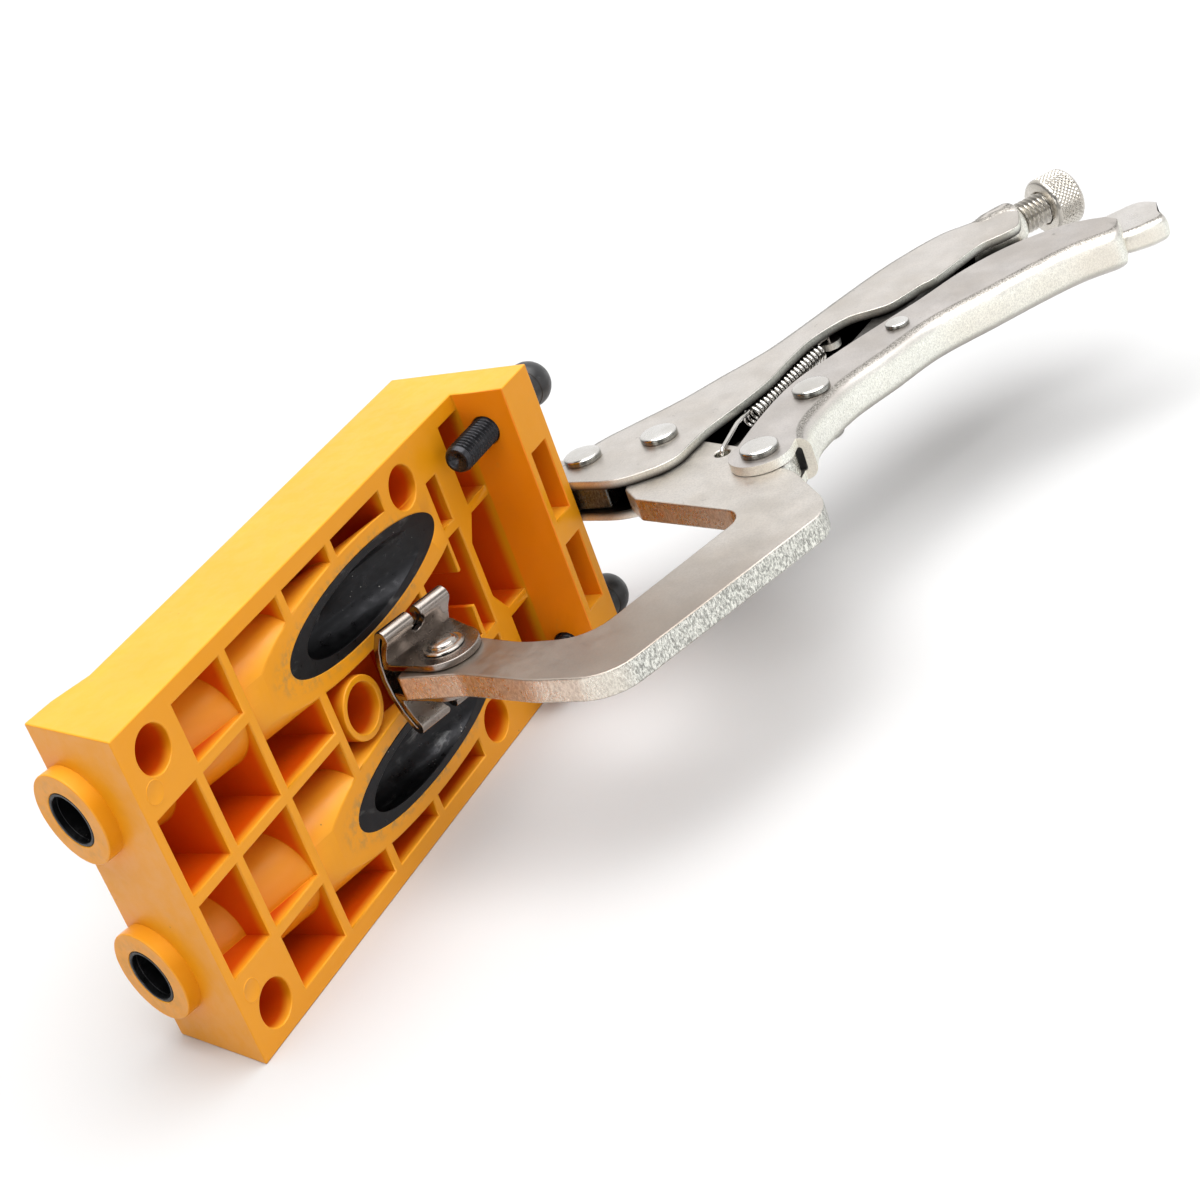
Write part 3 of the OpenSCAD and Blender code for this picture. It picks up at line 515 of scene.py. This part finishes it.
def spline(points, count):
    """Smooth path through flat points, in even steps."""
    points = [Vector(p) for p in points]
    between = 16
    fine = []
    for i in range(len(points) - 1):
        p0, p1, p2, p3 = points[max(i - 1, 0)], points[i], points[i + 1], points[min(i + 2, len(points) - 1)]
        for k in range(between):
            t = k / between
            fine.append(0.5 * (2 * p1 + (p2 - p0) * t + (2 * p0 - 5 * p1 + 4 * p2 - p3) * t * t
                               + (3 * p1 - p0 - 3 * p2 + p3) * t ** 3))
    fine.append(points[-1])
    run = [0.0]
    for start, end in zip(fine, fine[1:]):
        run.append(run[-1] + (end - start).length)
    path, j = [], 0
    for i in range(count):
        want = run[-1] * i / (count - 1)
        while j < len(run) - 2 and run[j + 1] < want:
            j += 1
        share = (want - run[j]) / max(run[j + 1] - run[j], 1e-9)
        path.append(fine[j].lerp(fine[j + 1], min(1.0, share)))
    return path


def across(path, i):
    """Direction square to a flat path at one of its points."""
    run = (path[min(i + 1, len(path) - 1)] - path[max(i - 1, 0)]).normalized()
    return Vector((-run.y, run.x))


def tube(name, path, radius, body, material, *nodes):
    """Round wire along a path of points in metres."""
    sides = 10
    verts = []
    normal = Vector((1, 0, 0))
    for i, spot in enumerate(path):
        way = (path[min(i + 1, len(path) - 1)] - path[max(i - 1, 0)]).normalized()
        normal = (normal - normal.dot(way) * way).normalized()
        side = way.cross(normal)
        for k in range(sides):
            angle = math.tau * k / sides
            verts.append(spot + radius * MM * (math.cos(angle) * normal + math.sin(angle) * side))
    ends = [tuple(range(sides)), tuple(len(verts) - 1 - k for k in range(sides))]
    mesh = bpy.data.meshes.new(name)
    mesh.from_pydata(verts, [], ring_faces(len(path), sides) + ends)
    return piece(name, mesh, body, material, *nodes)


# Channels folded from sheet
STATIONS = 96
FOLD_STEPS = 8
LEAST_ROOM = 0.6
LEAST_INNER_R = 0.15
END_SHADE = 0.15
LIP_ROUND = 0.25


def brought_round(path, inward, radius):
    """The path with its end brought round inwards along a quarter circle."""
    left = [0.0]
    for near, far in zip(reversed(path[:-1]), reversed(path[1:])):
        left.insert(0, left[0] + (far - near).length)
    bent = []
    for spot, way, to_go in zip(path, inward, left):
        step = radius - math.sqrt(radius ** 2 - (radius - to_go) ** 2) if to_go < radius else 0.0
        bent.append(spot + step * way)
    return bent


def fold_section(edge_at, centre, inward, half, radius):
    """Section of a fold as flat points with their heights: a flange's edge, the bend to the web,
    and the same again below."""
    bend = [math.pi / 2 * k / FOLD_STEPS for k in range(FOLD_STEPS + 1)]
    above = [(edge_at, half)]
    above += [(centre - radius * math.sin(a) * inward, half - radius + radius * math.cos(a)) for a in bend]
    return above + [(spot, -z) for spot, z in reversed(above)]


def sheet_faces(sections, ring):
    """Faces of a folded sheet whose sections each have an outer ring and an inner one."""
    faces = []
    for i in range(sections - 1):
        a, b = 2 * ring * i, 2 * ring * (i + 1)
        for k in range(ring - 1):
            faces.append((a + k, a + k + 1, b + k + 1, b + k))
            faces.append((a + ring + k, b + ring + k, b + ring + k + 1, a + ring + k + 1))
        for k in (0, ring - 1):
            faces.append((a + k, b + k, b + ring + k, a + ring + k))
    for a in (0, 2 * ring * (sections - 1)):
        for k in range(ring - 1):
            faces.append((a + k, a + k + 1, a + ring + k + 1, a + ring + k))
    return faces


def channel_form(node, edge, web, material, half, sheet, bend, side, lead=(), out=0.0, tight=1.0,
                 flare=0.0, turn_in=0.0):
    """Folded sheet whose web is bent round between two flanges, lofted along its two edges.
    The side is 1 or -1, for the web's inner side. The lead is the outline of the flanges before
    their web starts. The bend is tighter there, and the flare widens the last part of the channel.
    The web is moved outwards by out, and its end comes round by turn_in."""
    tight_share, flare_from, flare_run = 0.14, 0.80, 0.12
    edge_path, web_path = spline(edge, STATIONS), spline(web, STATIONS)
    inward = [side * across(web_path, i) for i in range(STATIONS)]
    web_path = [spot - out * way for spot, way in zip(web_path, inward)]
    web_path = brought_round(web_path, inward, turn_in)
    stations = [(Vector(p), web_path[0], inward[0]) for p in lead] + list(zip(edge_path, web_path, inward))
    verts, inside = [], []
    for k, (edge_at, web_at, way) in enumerate(stations):
        done = max(0, k - len(lead)) / STATIONS
        half_here = half + flare * min(1.0, max(0.0, (done - flare_from) / flare_run))
        room = bend if lead else max((edge_at - web_at).dot(way), LEAST_ROOM)
        radius = min(bend * (tight + (1.0 - tight) * min(1.0, done / tight_share)), 0.9 * room)
        inner_r = max(radius - sheet, LEAST_INNER_R)
        centre = web_at + radius * way
        outer = fold_section(edge_at, centre, way, half_here, radius)
        inner = fold_section(edge_at, centre, way, half_here - sheet, inner_r)
        verts += [at_clamp(spot.x, spot.y, z) for spot, z in outer + inner]
        # Inner faces carry painted shade: full along the channel, weaker on its lead and at its ends.
        dark = 1.0 if len(lead) < k < len(stations) - 1 else END_SHADE
        inside += [0.0] * len(outer) + [dark] * len(inner)
    mesh = bpy.data.meshes.new(f"{node}_form")
    mesh.from_pydata(verts, [], sheet_faces(len(stations), len(outer)))
    mesh.attributes.new("inside", "FLOAT", "POINT").data.foreach_set("value", inside)
    clean_up(mesh, 2e-6, SLIVER)
    made = piece(mesh.name, mesh, BODY_OF[node], material, node, sharpen=False)
    bevel = made.modifiers.new("edge", "BEVEL")
    bevel.width = LIP_ROUND * MM
    bevel.segments = 2
    bevel.limit_method = "ANGLE"
    bevel.angle_limit = LIP_ANGLE
    bevel.harden_normals = True
    bevel.loop_slide = False
    return made


# Threads and knurls
def faded(height, start, end, run):
    """1 between start and end, and down to 0 at both over the run."""
    return min(1.0, max(0.0, (height - start) / run)) * min(1.0, max(0.0, (end - height) / run))


def thread(pitch, depth, start, end, run_out):
    """Relief of a screw thread, which runs out at both ends."""
    def relief(angle, height):
        turn = (height / pitch - angle / math.tau) % 1.0
        wave = min(1.0, max(0.0, 1.25 * abs(2 * turn - 1) - 0.12))
        return depth * wave * faded(height, start, end, run_out)
    return relief


def threaded_rows(radius, start, end, pitch):
    per_turn = 10
    count = round((end - start) / pitch * per_turn)
    return [(radius, start + (end - start) * i / count) for i in range(count + 1)]


def knurl(radius, cell, depth, start, end):
    """Relief of a diamond knurl with a plain chamfer at both ends."""
    turns = round(math.tau * radius / cell)
    chamfer, ridge = 0.3, 0.25

    def relief(angle, height):
        one_way = (turns * angle / math.tau + height / cell) % 1.0
        other_way = (turns * angle / math.tau - height / cell) % 1.0
        groove = max(abs(2 * one_way - 1), abs(2 * other_way - 1))
        return depth * max(0.0, groove - ridge) / (1 - ridge) * faded(height, start, end, chamfer)
    return relief


def bushes():
    """Steel drill guides, with a rim at their entry end."""
    bore_r, rim_r, rim_from, rim_to = 4.8, 5.46, 71.9, 73.1
    rim = [(bore_r, rim_from), (bore_r, rim_to - 0.15), (bore_r + 0.15, rim_to), (rim_r - 0.11, rim_to),
           (rim_r, rim_to - 0.12), (rim_r, rim_from), (bore_r, rim_from)]
    for side, sign in (("left", 1), ("right", -1)):
        rounded(f"bush_{side}", BUSH, 0.15 * MM, 2)
        drill_place = frame_on(Vector((DRILL_EXIT.x, 0.0, sign * DRILL_EXIT.z)), DRILL_WAY)
        turned(f"bush_nose_{side}", rim, "housing", BUSH, place=drill_place, slot="bush")


def pin_marks():
    """Round marks that the mould's ejector pins left on the housing's face."""
    mark_x, mark_z = -47.0, 21.0
    mark = [(0.0, 0.02), (1.85, 0.02), (1.95, 0.09), (2.15, 0.09), (2.3, -0.05)]
    for k, z in enumerate((mark_z, -mark_z)):
        face = frame_on(Vector((mark_x, 0.0, z)) * MM, (0, -1, 0))
        turned(f"pin_mark_{k + 1}", mark, "housing", PLASTIC, place=face, slot="housing")


def stop_cap_rows():
    """Black cap: a skirt and a collar under a dome."""
    start, middle, radius, neck_r, bore_r = 25.9, 31.7, 4.8, 4.1, 3.02
    turns = [math.pi / 2 * (k / 14) for k in range(-4, 14)]
    dome = [(radius * math.cos(t), middle + radius * math.sin(t)) for t in turns]
    dome_from = dome[0][1]
    skirt = [(bore_r, start + 4.0), (bore_r, start + 0.25), (3.2, start), (3.85, start), (4.08, start + 0.15),
             (neck_r, start + 0.4), (neck_r, dome_from - 0.3), (4.2, dome_from - 0.05)]
    return skirt + dome + [(0.0, middle + radius)]


def stop_screw_rows(pitch):
    """Stop screw: a rounded tip and a threaded shank with a flat end."""
    radius, thread_from, thread_to = 2.98, 1.0, 30.6
    tip = [(0.0, 1.0), (0.9, 0.75), (1.5, 0.3), (1.9, 0.04), (2.15, 0.0), (2.45, 0.08), (2.7, 0.45),
           (2.95, 0.95)]
    return tip + threaded_rows(radius, thread_from, thread_to, pitch) + [(0.0, thread_to + 0.1)]


def stop_screws():
    """Threaded stops through the lip, and the caps that turn them."""
    from_lip, screw_y, screw_z, pitch = 12.4, -5.05, 25.35, 1.0
    groove = thread(pitch, depth=0.5, start=0.9, end=31.0, run_out=0.5)
    for side, z in (("left", screw_z), ("right", -screw_z)):
        place = frame_on(Vector((JIG_START + JIG_LENGTH - from_lip, screw_y, z)) * MM, (1, 0, 0))
        body = BODY_OF[f"stop_screw_{side}"]
        turned(f"stop_screw_{side}_thread", stop_screw_rows(pitch), body, SCREW, f"stop_screw_{side}",
               place=place, sides=48, relief=groove)
        turned(f"stop_cap_{side}_dome", stop_cap_rows(), body, CAP, f"stop_cap_{side}", place=place)


# Outlines of the folded channels: the flanges' open edge, and the web
FIXED_EDGE = [
    (60.0, 6.5), (59.3, -0.2), (58.7, -5.7), (59.3, -10.0), (61.1, -13.7), (63.6, -17.2), (67.1, -19.6),
    (73.2, -20.6), (78.4, -21.6), (84.2, -23.6), (88.9, -25.2), (93.6, -26.6), (98.8, -27.8),
    (104.2, -28.3), (109.7, -29.0), (115.0, -30.0), (120.9, -32.6), (125.4, -35.9), (127.2, -39.9),
    (129.7, -44.0), (137.2, -48.1), (141.0, -50.8), (153.8, -55.3), (157.0, -57.3), (159.9, -60.3),
    (164.0, -62.4), (172.3, -59.9),
]
FIXED_WEB = [
    (66.0, 10.0), (77.7, 4.8), (85.1, -0.8), (93.7, -7.7), (103.4, -13.6), (110.3, -18.0),
    (118.3, -21.9), (144.4, -31.3), (156.2, -36.7), (165.5, -42.6), (169.3, -47.6), (171.8, -51.2),
    (174.8, -55.8),
]
MOVING_EDGE = [
    (68.0, -32.7), (77.9, -32.6), (88.7, -33.2), (97.5, -35.0), (108.5, -39.9), (119.2, -45.2),
    (129.7, -50.7), (141.4, -56.0), (150.6, -62.3), (157.1, -69.5), (160.6, -76.5), (161.2, -83.0),
]
MOVING_WEB = [
    (70.0, -46.8), (76.0, -45.3), (84.7, -46.1), (93.5, -47.9), (104.7, -52.7), (117.5, -58.0),
    (130.0, -67.2), (139.4, -74.2), (147.3, -81.2), (153.0, -90.0),
]
LEVER_EDGE = [
    (112.0, -46.3), (117.7, -46.2), (160.7, -77.7), (165.9, -81.1), (168.5, -83.6), (170.6, -85.9),
    (171.3, -88.6), (170.0, -91.8),
]
LEVER_WEB = [(112.0, -52.0), (119.7, -53.5), (150.5, -82.0), (155.4, -90.0), (158.4, -93.9), (162.2, -97.0)]


def fixed_handle():
    channel_form("fixed_handle", FIXED_EDGE, FIXED_WEB, SHEET, half=HANDLE_HALF, sheet=HANDLE_SHEET,
                 bend=4.0, side=-1, out=1.6)


def moving_handle():
    """Moving handle, whose flanges start as round ears about its pivot."""
    ear_r, ear_foot = 6.6, (69.0, -44.9)
    turns = [math.radians(a) for a in range(-85, -292, -6)]
    ear = [HANDLE_PIVOT + ear_r * Vector((math.cos(turn), math.sin(turn))) for turn in turns]
    channel_form("moving_handle", MOVING_EDGE, MOVING_WEB, GRIP_SHEET, half=HANDLE_HALF, sheet=HANDLE_SHEET,
                 bend=4.2, side=1, lead=[ear_foot, *ear], out=0.8, tight=0.64, turn_in=4.5)


def release_lever():
    channel_form("release_lever", LEVER_EDGE, LEVER_WEB, LEVER_SHEET, half=2.5, sheet=1.2, bend=2.2, side=1,
                 flare=0.3, turn_in=2.4)


# Back corner of the moving jaw, seen from its middle, and the spring's hole, in millimetres
BACK_CORNER = spline([(59.7, -48.2), (54, -53.3), (48, -58.5), (42, -60.4), (34.8, -58.9)], 26)
CORNER_MIDDLE = Vector((48.0, -52.0))
CORNER_REACH = 17
SIDES_REACH = 40
LONG_EDGE = 4
RIM_CUTS = 14
SPRING_HOLE_R = 1.6
SPRING_HOLE_REACH = 1.3


def flat(vert):
    """Place of a vertex across the clamp, in millimetres from the front pad's rivet."""
    return vert.co.xy / MM - CLAMP_AT.xy


def move_flat(vert, middle, away):
    """Moves a vertex across the clamp to a place given from a middle, in millimetres."""
    vert.co.x, vert.co.y = (CLAMP_AT.xy + middle + away) * MM


def turn_of(spot):
    return math.atan2(spot.y - CORNER_MIDDLE.y, spot.x - CORNER_MIDDLE.x)


def on_corner(vert):
    spot = flat(vert)
    within = turn_of(BACK_CORNER[-1]) < turn_of(spot) < turn_of(BACK_CORNER[0])
    return within and (spot - CORNER_MIDDLE).length < CORNER_REACH


def long_rim(edge):
    """Whether an edge is a long stretch of the rim that ends on the back corner."""
    level = abs(edge.verts[0].co.z - edge.verts[1].co.z) < SLIVER
    if edge.calc_length() <= LONG_EDGE * MM or not level or len(edge.link_faces) != 2:
        return False
    spots = [flat(v) for v in edge.verts]
    near = all(abs(turn_of(s)) < math.pi * 0.9 and (s - CORNER_MIDDLE).length < SIDES_REACH for s in spots)
    square = abs(edge.link_faces[0].normal.z - edge.link_faces[1].normal.z) > 0.5
    return near and square and any(on_corner(v) for v in edge.verts)


def to_corner(turn):
    """Step from the back corner's middle to its curve, in a direction."""
    way = Vector((math.cos(turn), math.sin(turn)))
    stretches = zip(BACK_CORNER, BACK_CORNER[1:])
    start, end = next((s, e) for s, e in stretches if turn_of(e) <= turn <= turn_of(s))
    run, from_middle = end - start, start - CORNER_MIDDLE
    reach = (from_middle.x * run.y - from_middle.y * run.x) / (way.x * run.y - way.y * run.x)
    return reach * way


def fuller_jaw(grid):
    """Swells and rounds the moving jaw's back corner, and opens the spring's hole."""
    long_ones = [e for e in grid.edges if long_rim(e)]
    bmesh.ops.subdivide_edges(grid, edges=long_ones, cuts=RIM_CUTS, use_grid_fill=False)
    for vert in grid.verts:
        if on_corner(vert):
            move_flat(vert, CORNER_MIDDLE, to_corner(turn_of(flat(vert))))
    for vert in grid.verts:
        away = flat(vert) - SPRING_HOLE
        if away.length < SPRING_HOLE_REACH:
            move_flat(vert, SPRING_HOLE, SPRING_HOLE_R * away.normalized())


def jaws():
    # The fixed jaw takes the shaded copy of the plate, as painted shade.
    rounded("fixed_jaw", SHADED_PLATE, 0.4 * MM)
    rounded("moving_jaw", PLATE, 0.4 * MM, reshape=fuller_jaw)


def pads():
    for node in ("front_pad", "back_pad"):
        rounded(node, PAD, 0.25 * MM, 2)


def toggle_link():
    rounded("toggle_link", LINK, 0.5 * MM)


# The adjusting screw's axis runs from its tip at the toggle to the knob, and its sizes are in millimetres
SCREW_PLACE = frame_on(at_clamp(*TOGGLE_TIP), (KNOB_POINT - TOGGLE_TIP).normalized())
KNOB_AT = (KNOB_POINT - TOGGLE_TIP).length - 0.2
SCREW_PITCH = 1.25
NUT_R = 4.3
NUT_FROM = 5.0
NUT_TO = 18.0


def adjusting_screw():
    """Screw with a plain narrower tip."""
    radius, thread_from, thread_to = 3.78, 9.2, KNOB_AT + 3.8
    rows = [(0.0, 4.2), (2.1, 4.2), (2.6, 4.35), (2.73, 4.7), (2.73, 6.7), (3.2, 7.9)]
    rows += threaded_rows(radius, thread_from, thread_to, SCREW_PITCH) + [(0.0, thread_to)]
    turned("adjusting_screw_thread", rows, BODY_OF["adjusting_screw"], KNOB, "adjusting_screw",
           place=SCREW_PLACE, sides=56,
           relief=thread(SCREW_PITCH, depth=0.62, start=8.6, end=KNOB_AT + 5.0, run_out=1.2))


def knurled_knob():
    """Knob with a knurled rim between two plain edges."""
    radius, rim_from, rim_run, steps = 6.6, 0.9, 5.8, 48
    rows = [(3.86, 3.8), (3.86, 0.3), (4.1, 0.0), (5.9, 0.0), (6.1, 0.1), (6.5, 0.6), (radius, rim_from)]
    rows += [(radius, rim_from + rim_run * i / steps) for i in range(1, steps + 1)]
    rows += [(6.5, 7.0), (6.1, 7.5), (5.9, 7.6), (3.0, 7.62), (0.0, 7.62)]
    rows = [(r, height + KNOB_AT) for r, height in rows]
    turned("knurled_knob_form", rows, BODY_OF["knurled_knob"], KNOB, "knurled_knob", place=SCREW_PLACE,
           sides=304, relief=knurl(radius, cell=1.1, depth=0.32, start=KNOB_AT + 0.8, end=KNOB_AT + 6.8))


def screw_nut():
    bore_r = 3.85
    rows = [(bore_r, NUT_FROM), (NUT_R, NUT_FROM), (NUT_R, NUT_TO), (bore_r, NUT_TO), (bore_r, NUT_FROM)]
    turned("screw_nut_form", rows, BODY_OF["screw_nut"], KNOB, "screw_nut", place=SCREW_PLACE)


def handle_sleeve():
    """End of the fixed handle's sheet, formed round the nut, with slight dents."""
    sleeve_r, swell, swell_from, swell_run = 4.4, 0.75, 5.2, 12
    rows = [(NUT_R, NUT_FROM), (sleeve_r, NUT_FROM)]
    for k in range(swell_run + 1):
        rows.append((sleeve_r + swell * math.sin(math.pi / 2 * k / swell_run) ** 2, swell_from + k))
    rows += [(5.15, 18.8), (5.0, 19.5), (4.75, 19.9), (4.5, 20.0), (NUT_R, 19.9), (NUT_R, NUT_FROM)]

    def dents(angle, height):
        return 0.06 * math.sin(3 * angle + height) + 0.05 * math.sin(7 * angle - 1.7 * height)

    turned("handle_sleeve", rows, BODY_OF["fixed_handle"], SHEET, place=SCREW_PLACE,
           slot=SLOT_OF["fixed_handle"], relief=dents)


# Sizes of a rivet: its shaft, its head, and half the length between its heads
Rivet = namedtuple("Rivet", "shaft_r head_r head_h half")
LARGE_RIVET = Rivet(shaft_r=2.5, head_r=4.0, head_h=1.75, half=4.65)
LEVER_RIVET = Rivet(shaft_r=1.5, head_r=2.6, head_h=1.2, half=4.65)
PAD_PIN = Rivet(shaft_r=1.5, head_r=2.7, head_h=1.5, half=4.05)
PAD_SEAT_R = 4.1


def rivet_form(node, x, y, size, seat=None, material=BRIGHT):
    """Rivet with a low round wall and a domed top on both heads, which may stand on a wider seat."""
    wall_share, steps = 0.55, 12
    wall = wall_share * size.head_h
    foot, top = size.half, size.half + wall
    turns = [math.pi / 2 * k / steps for k in range(steps - 2)]
    rows = [(size.head_r * math.sin(t), top + (size.head_h - wall) * math.cos(t)) for t in turns]
    rows += [(size.head_r - 0.03, top + 0.05), (size.head_r, top - 0.15)]
    if seat:
        rows += [(size.head_r + 0.1, foot + 0.55), (seat - 0.35, foot + 0.5), (seat - 0.1, foot + 0.38)]
        rows += [(seat, foot + 0.15)]
    else:
        rows += [(size.head_r, foot + 0.15), (size.head_r - 0.15, foot)]
    rows += [(size.shaft_r, foot)]
    rows += [(radius, -height) for radius, height in reversed(rows)]
    place = Matrix.Translation(at_clamp(x, y))
    turned(f"{node}_form", rows, BODY_OF[node], material, node, place=place)


def rivets():
    """Four large rivets, the lever's small one and the pads' pins on their seats."""
    rivet_form("fixed_jaw_rivet", 69.4, 3.7, LARGE_RIVET)
    rivet_form("jaw_pivot_rivet", 76.0, -11.4, LARGE_RIVET)
    rivet_form("handle_rivet", *HANDLE_PIVOT, LARGE_RIVET)
    rivet_form("toggle_rivet", 90.5, -40.4, LARGE_RIVET)
    rivet_form("release_rivet", 117.6, -49.8, LEVER_RIVET)
    rivet_form("front_pad_rivet", 0, 0, PAD_PIN, PAD_SEAT_R, PIN)
    rivet_form("back_pad_rivet", 0, PADS_APART, PAD_PIN, PAD_SEAT_R, PIN)


def spring_path():
    """The wire's middle: up out of the jaw's hole, over the plate to the coil, and on to the tab."""
    curls, steps = 20, 24
    lift = PLATE_HALF + WIRE_R + 0.1
    coil_run = COIL_END - COIL_START
    sideways = Vector((-coil_run.y, coil_run.x)).normalized()
    path = [(*SPRING_HOLE, 0.0), (*SPRING_HOLE, 2.4)]
    path += [(*(SPRING_HOLE + Vector((0.5, 0.05))), lift - 0.1), (*(SPRING_HOLE + Vector((1.2, 0.1))), lift)]
    path += [(*SPRING_HOLE.lerp(COIL_START, t), lift) for t in (0.15, 0.3, 0.45, 0.6)]
    path += [(*SPRING_HOLE.lerp(COIL_START, t), z) for t, z in ((0.78, 2.6), (0.9, 2.1))]
    for i in range(curls * steps + 1):
        angle = math.tau * i / steps
        spot = COIL_START + coil_run * i / (curls * steps) + COIL_R * math.sin(angle) * sideways
        path.append((*spot, COIL_R * math.cos(angle)))
    path += [(*COIL_END.lerp(SPRING_TAB, 0.5), 1.8), (*(SPRING_TAB - Vector((0.4, 0.3))), 1.75)]
    path += [(*SPRING_TAB, 1.6), (*SPRING_TAB, 0.0)]
    return [at_clamp(*spot) for spot in path]


def spring():
    """Spring wire, with its hook in the moving jaw's hole."""
    wire = tube("spring_wire_form", spring_path(), WIRE_R, None, WIRE, "spring")
    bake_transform(wire)


def spring_tab():
    """Tab of the fixed handle that holds the spring's other end."""
    tab_r, tab_top, tab_half = 2.6, 5.6, 0.75
    turns = [math.radians(a) for a in range(195, 350, 15)]
    shape = [(-tab_r, tab_top), (-tab_r, 0.0)]
    shape += [(tab_r * math.cos(turn), tab_r * math.sin(turn)) for turn in turns]
    shape += [(tab_r, 0.0), (tab_r, tab_top)]
    count = len(shape)
    verts = [at_clamp(SPRING_TAB.x + x, SPRING_TAB.y + y, z) for z in (-tab_half, tab_half) for x, y in shape]
    faces = [tuple(range(count)), tuple(2 * count - 1 - k for k in range(count))]
    faces += [(k, (k + 1) % count, count + (k + 1) % count, count + k) for k in range(count)]
    mesh = bpy.data.meshes.new("spring_tab_form")
    mesh.from_pydata(verts, [], faces)
    piece("spring_tab_form", mesh, BODY_OF["fixed_handle"], SHEET, slot=SLOT_OF["fixed_handle"])


def paper_floor():
    """Wide pale floor under the housing."""
    reach = 40.0
    mesh = bpy.data.meshes.new("floor")
    corners = [(x * reach, y * reach, FLOOR_Z * MM) for x, y in ((-1, -1), (1, -1), (1, 1), (-1, 1))]
    mesh.from_pydata(corners, [], [(0, 1, 2, 3)])
    floor = bpy.data.objects.new("floor", mesh)
    SCENE.collection.objects.link(floor)
    paper = Paint("floor_paper", Roughness=0.9)
    paper.to("Base Color", paper.mix(paper.noise(3, 2), (0.625, 0.625, 0.625), (0.635, 0.635, 0.635)))
    paper.to("Normal", paper.bump(paper.noise(900, 2), 0.02 * MM, 0.1))
    mesh.materials.append(paper.material)


def studio_sky():
    """White sky that glows over the clamp's far side and is dim elsewhere."""
    world = bpy.data.worlds.new("studio")
    SCENE.world = world
    world.use_nodes = True
    nodes, links = world.node_tree.nodes, world.node_tree.links
    sky = nodes["Background"]
    sky.inputs["Color"].default_value = (1.0, 1.0, 1.0, 1.0)
    gaze = nodes.new("ShaderNodeTexCoord")
    towards = nodes.new("ShaderNodeVectorMath")
    towards.operation = "DOT_PRODUCT"
    links.new(gaze.outputs["Generated"], towards.inputs[0])
    towards.inputs[1].default_value = Vector((0.85, 0.15, 0.50)).normalized()
    glow = nodes.new("ShaderNodeMapRange")
    glow.interpolation_type = "SMOOTHSTEP"
    links.new(towards.outputs["Value"], glow.inputs["Value"])
    for key, value in (("From Min", 0.1), ("From Max", 0.85), ("To Min", 0.18), ("To Max", 1.0)):
        glow.inputs[key].default_value = value
    links.new(glow.outputs["Result"], sky.inputs["Strength"])


def softbox(name, at, size, power):
    """Rectangular lamp that faces the jig's middle."""
    lamp = bpy.data.lights.new(name, "AREA")
    lamp.shape = "RECTANGLE"
    lamp.size, lamp.size_y = size
    lamp.energy = power
    made = bpy.data.objects.new(name, lamp)
    made.location = at
    made.rotation_mode = "QUATERNION"
    made.rotation_quaternion = (Vector((0.04, -0.02, 0.0)) - Vector(at)).to_track_quat("-Z", "Y")
    SCENE.collection.objects.link(made)


def overhead_light():
    top = bpy.data.lights.new("top", "SUN")
    top.energy = 3.5
    top.angle = math.radians(70)
    lamp = bpy.data.objects.new("top", top)
    lamp.rotation_mode = "QUATERNION"
    lamp.rotation_quaternion = Vector((0.03, 0.15, -0.98)).to_track_quat("-Z", "Y")
    SCENE.collection.objects.link(lamp)


def photo_camera():
    """Camera at the photograph's viewing angle."""
    data = bpy.data.cameras.new("camera")
    data.lens = 72.655
    data.sensor_width = 36.0
    data.clip_start = 0.01
    camera = bpy.data.objects.new("camera", data)
    right = Vector((0.414591, -0.853628, -0.315330))
    up = Vector((0.533424, -0.052773, 0.844200))
    ahead = Vector((0.737274, 0.518202, -0.433466))
    turn = Matrix((right, up, -ahead)).transposed().to_4x4()
    camera.matrix_world = Matrix.Translation((-0.29332, -0.27039, 0.19723)) @ turn
    SCENE.collection.objects.link(camera)
    SCENE.camera = camera
    SCENE.view_settings.view_transform = "Standard"


rounded("jig_body", PLASTIC, 0.3 * MM, join_flat=False)
bushes()
pin_marks()
stop_screws()
fixed_handle()
moving_handle()
release_lever()
jaws()
pads()
toggle_link()
adjusting_screw()
knurled_knob()
screw_nut()
handle_sleeve()
rivets()
spring()
spring_tab()
paper_floor()
studio_sky()
softbox("side", at=(-0.90, 0.06, 0.16), size=(0.5, 0.5), power=1.7)
softbox("strip", at=(-0.12, -0.95, 0.26), size=(1.3, 0.32), power=2.1)
overhead_light()
photo_camera()
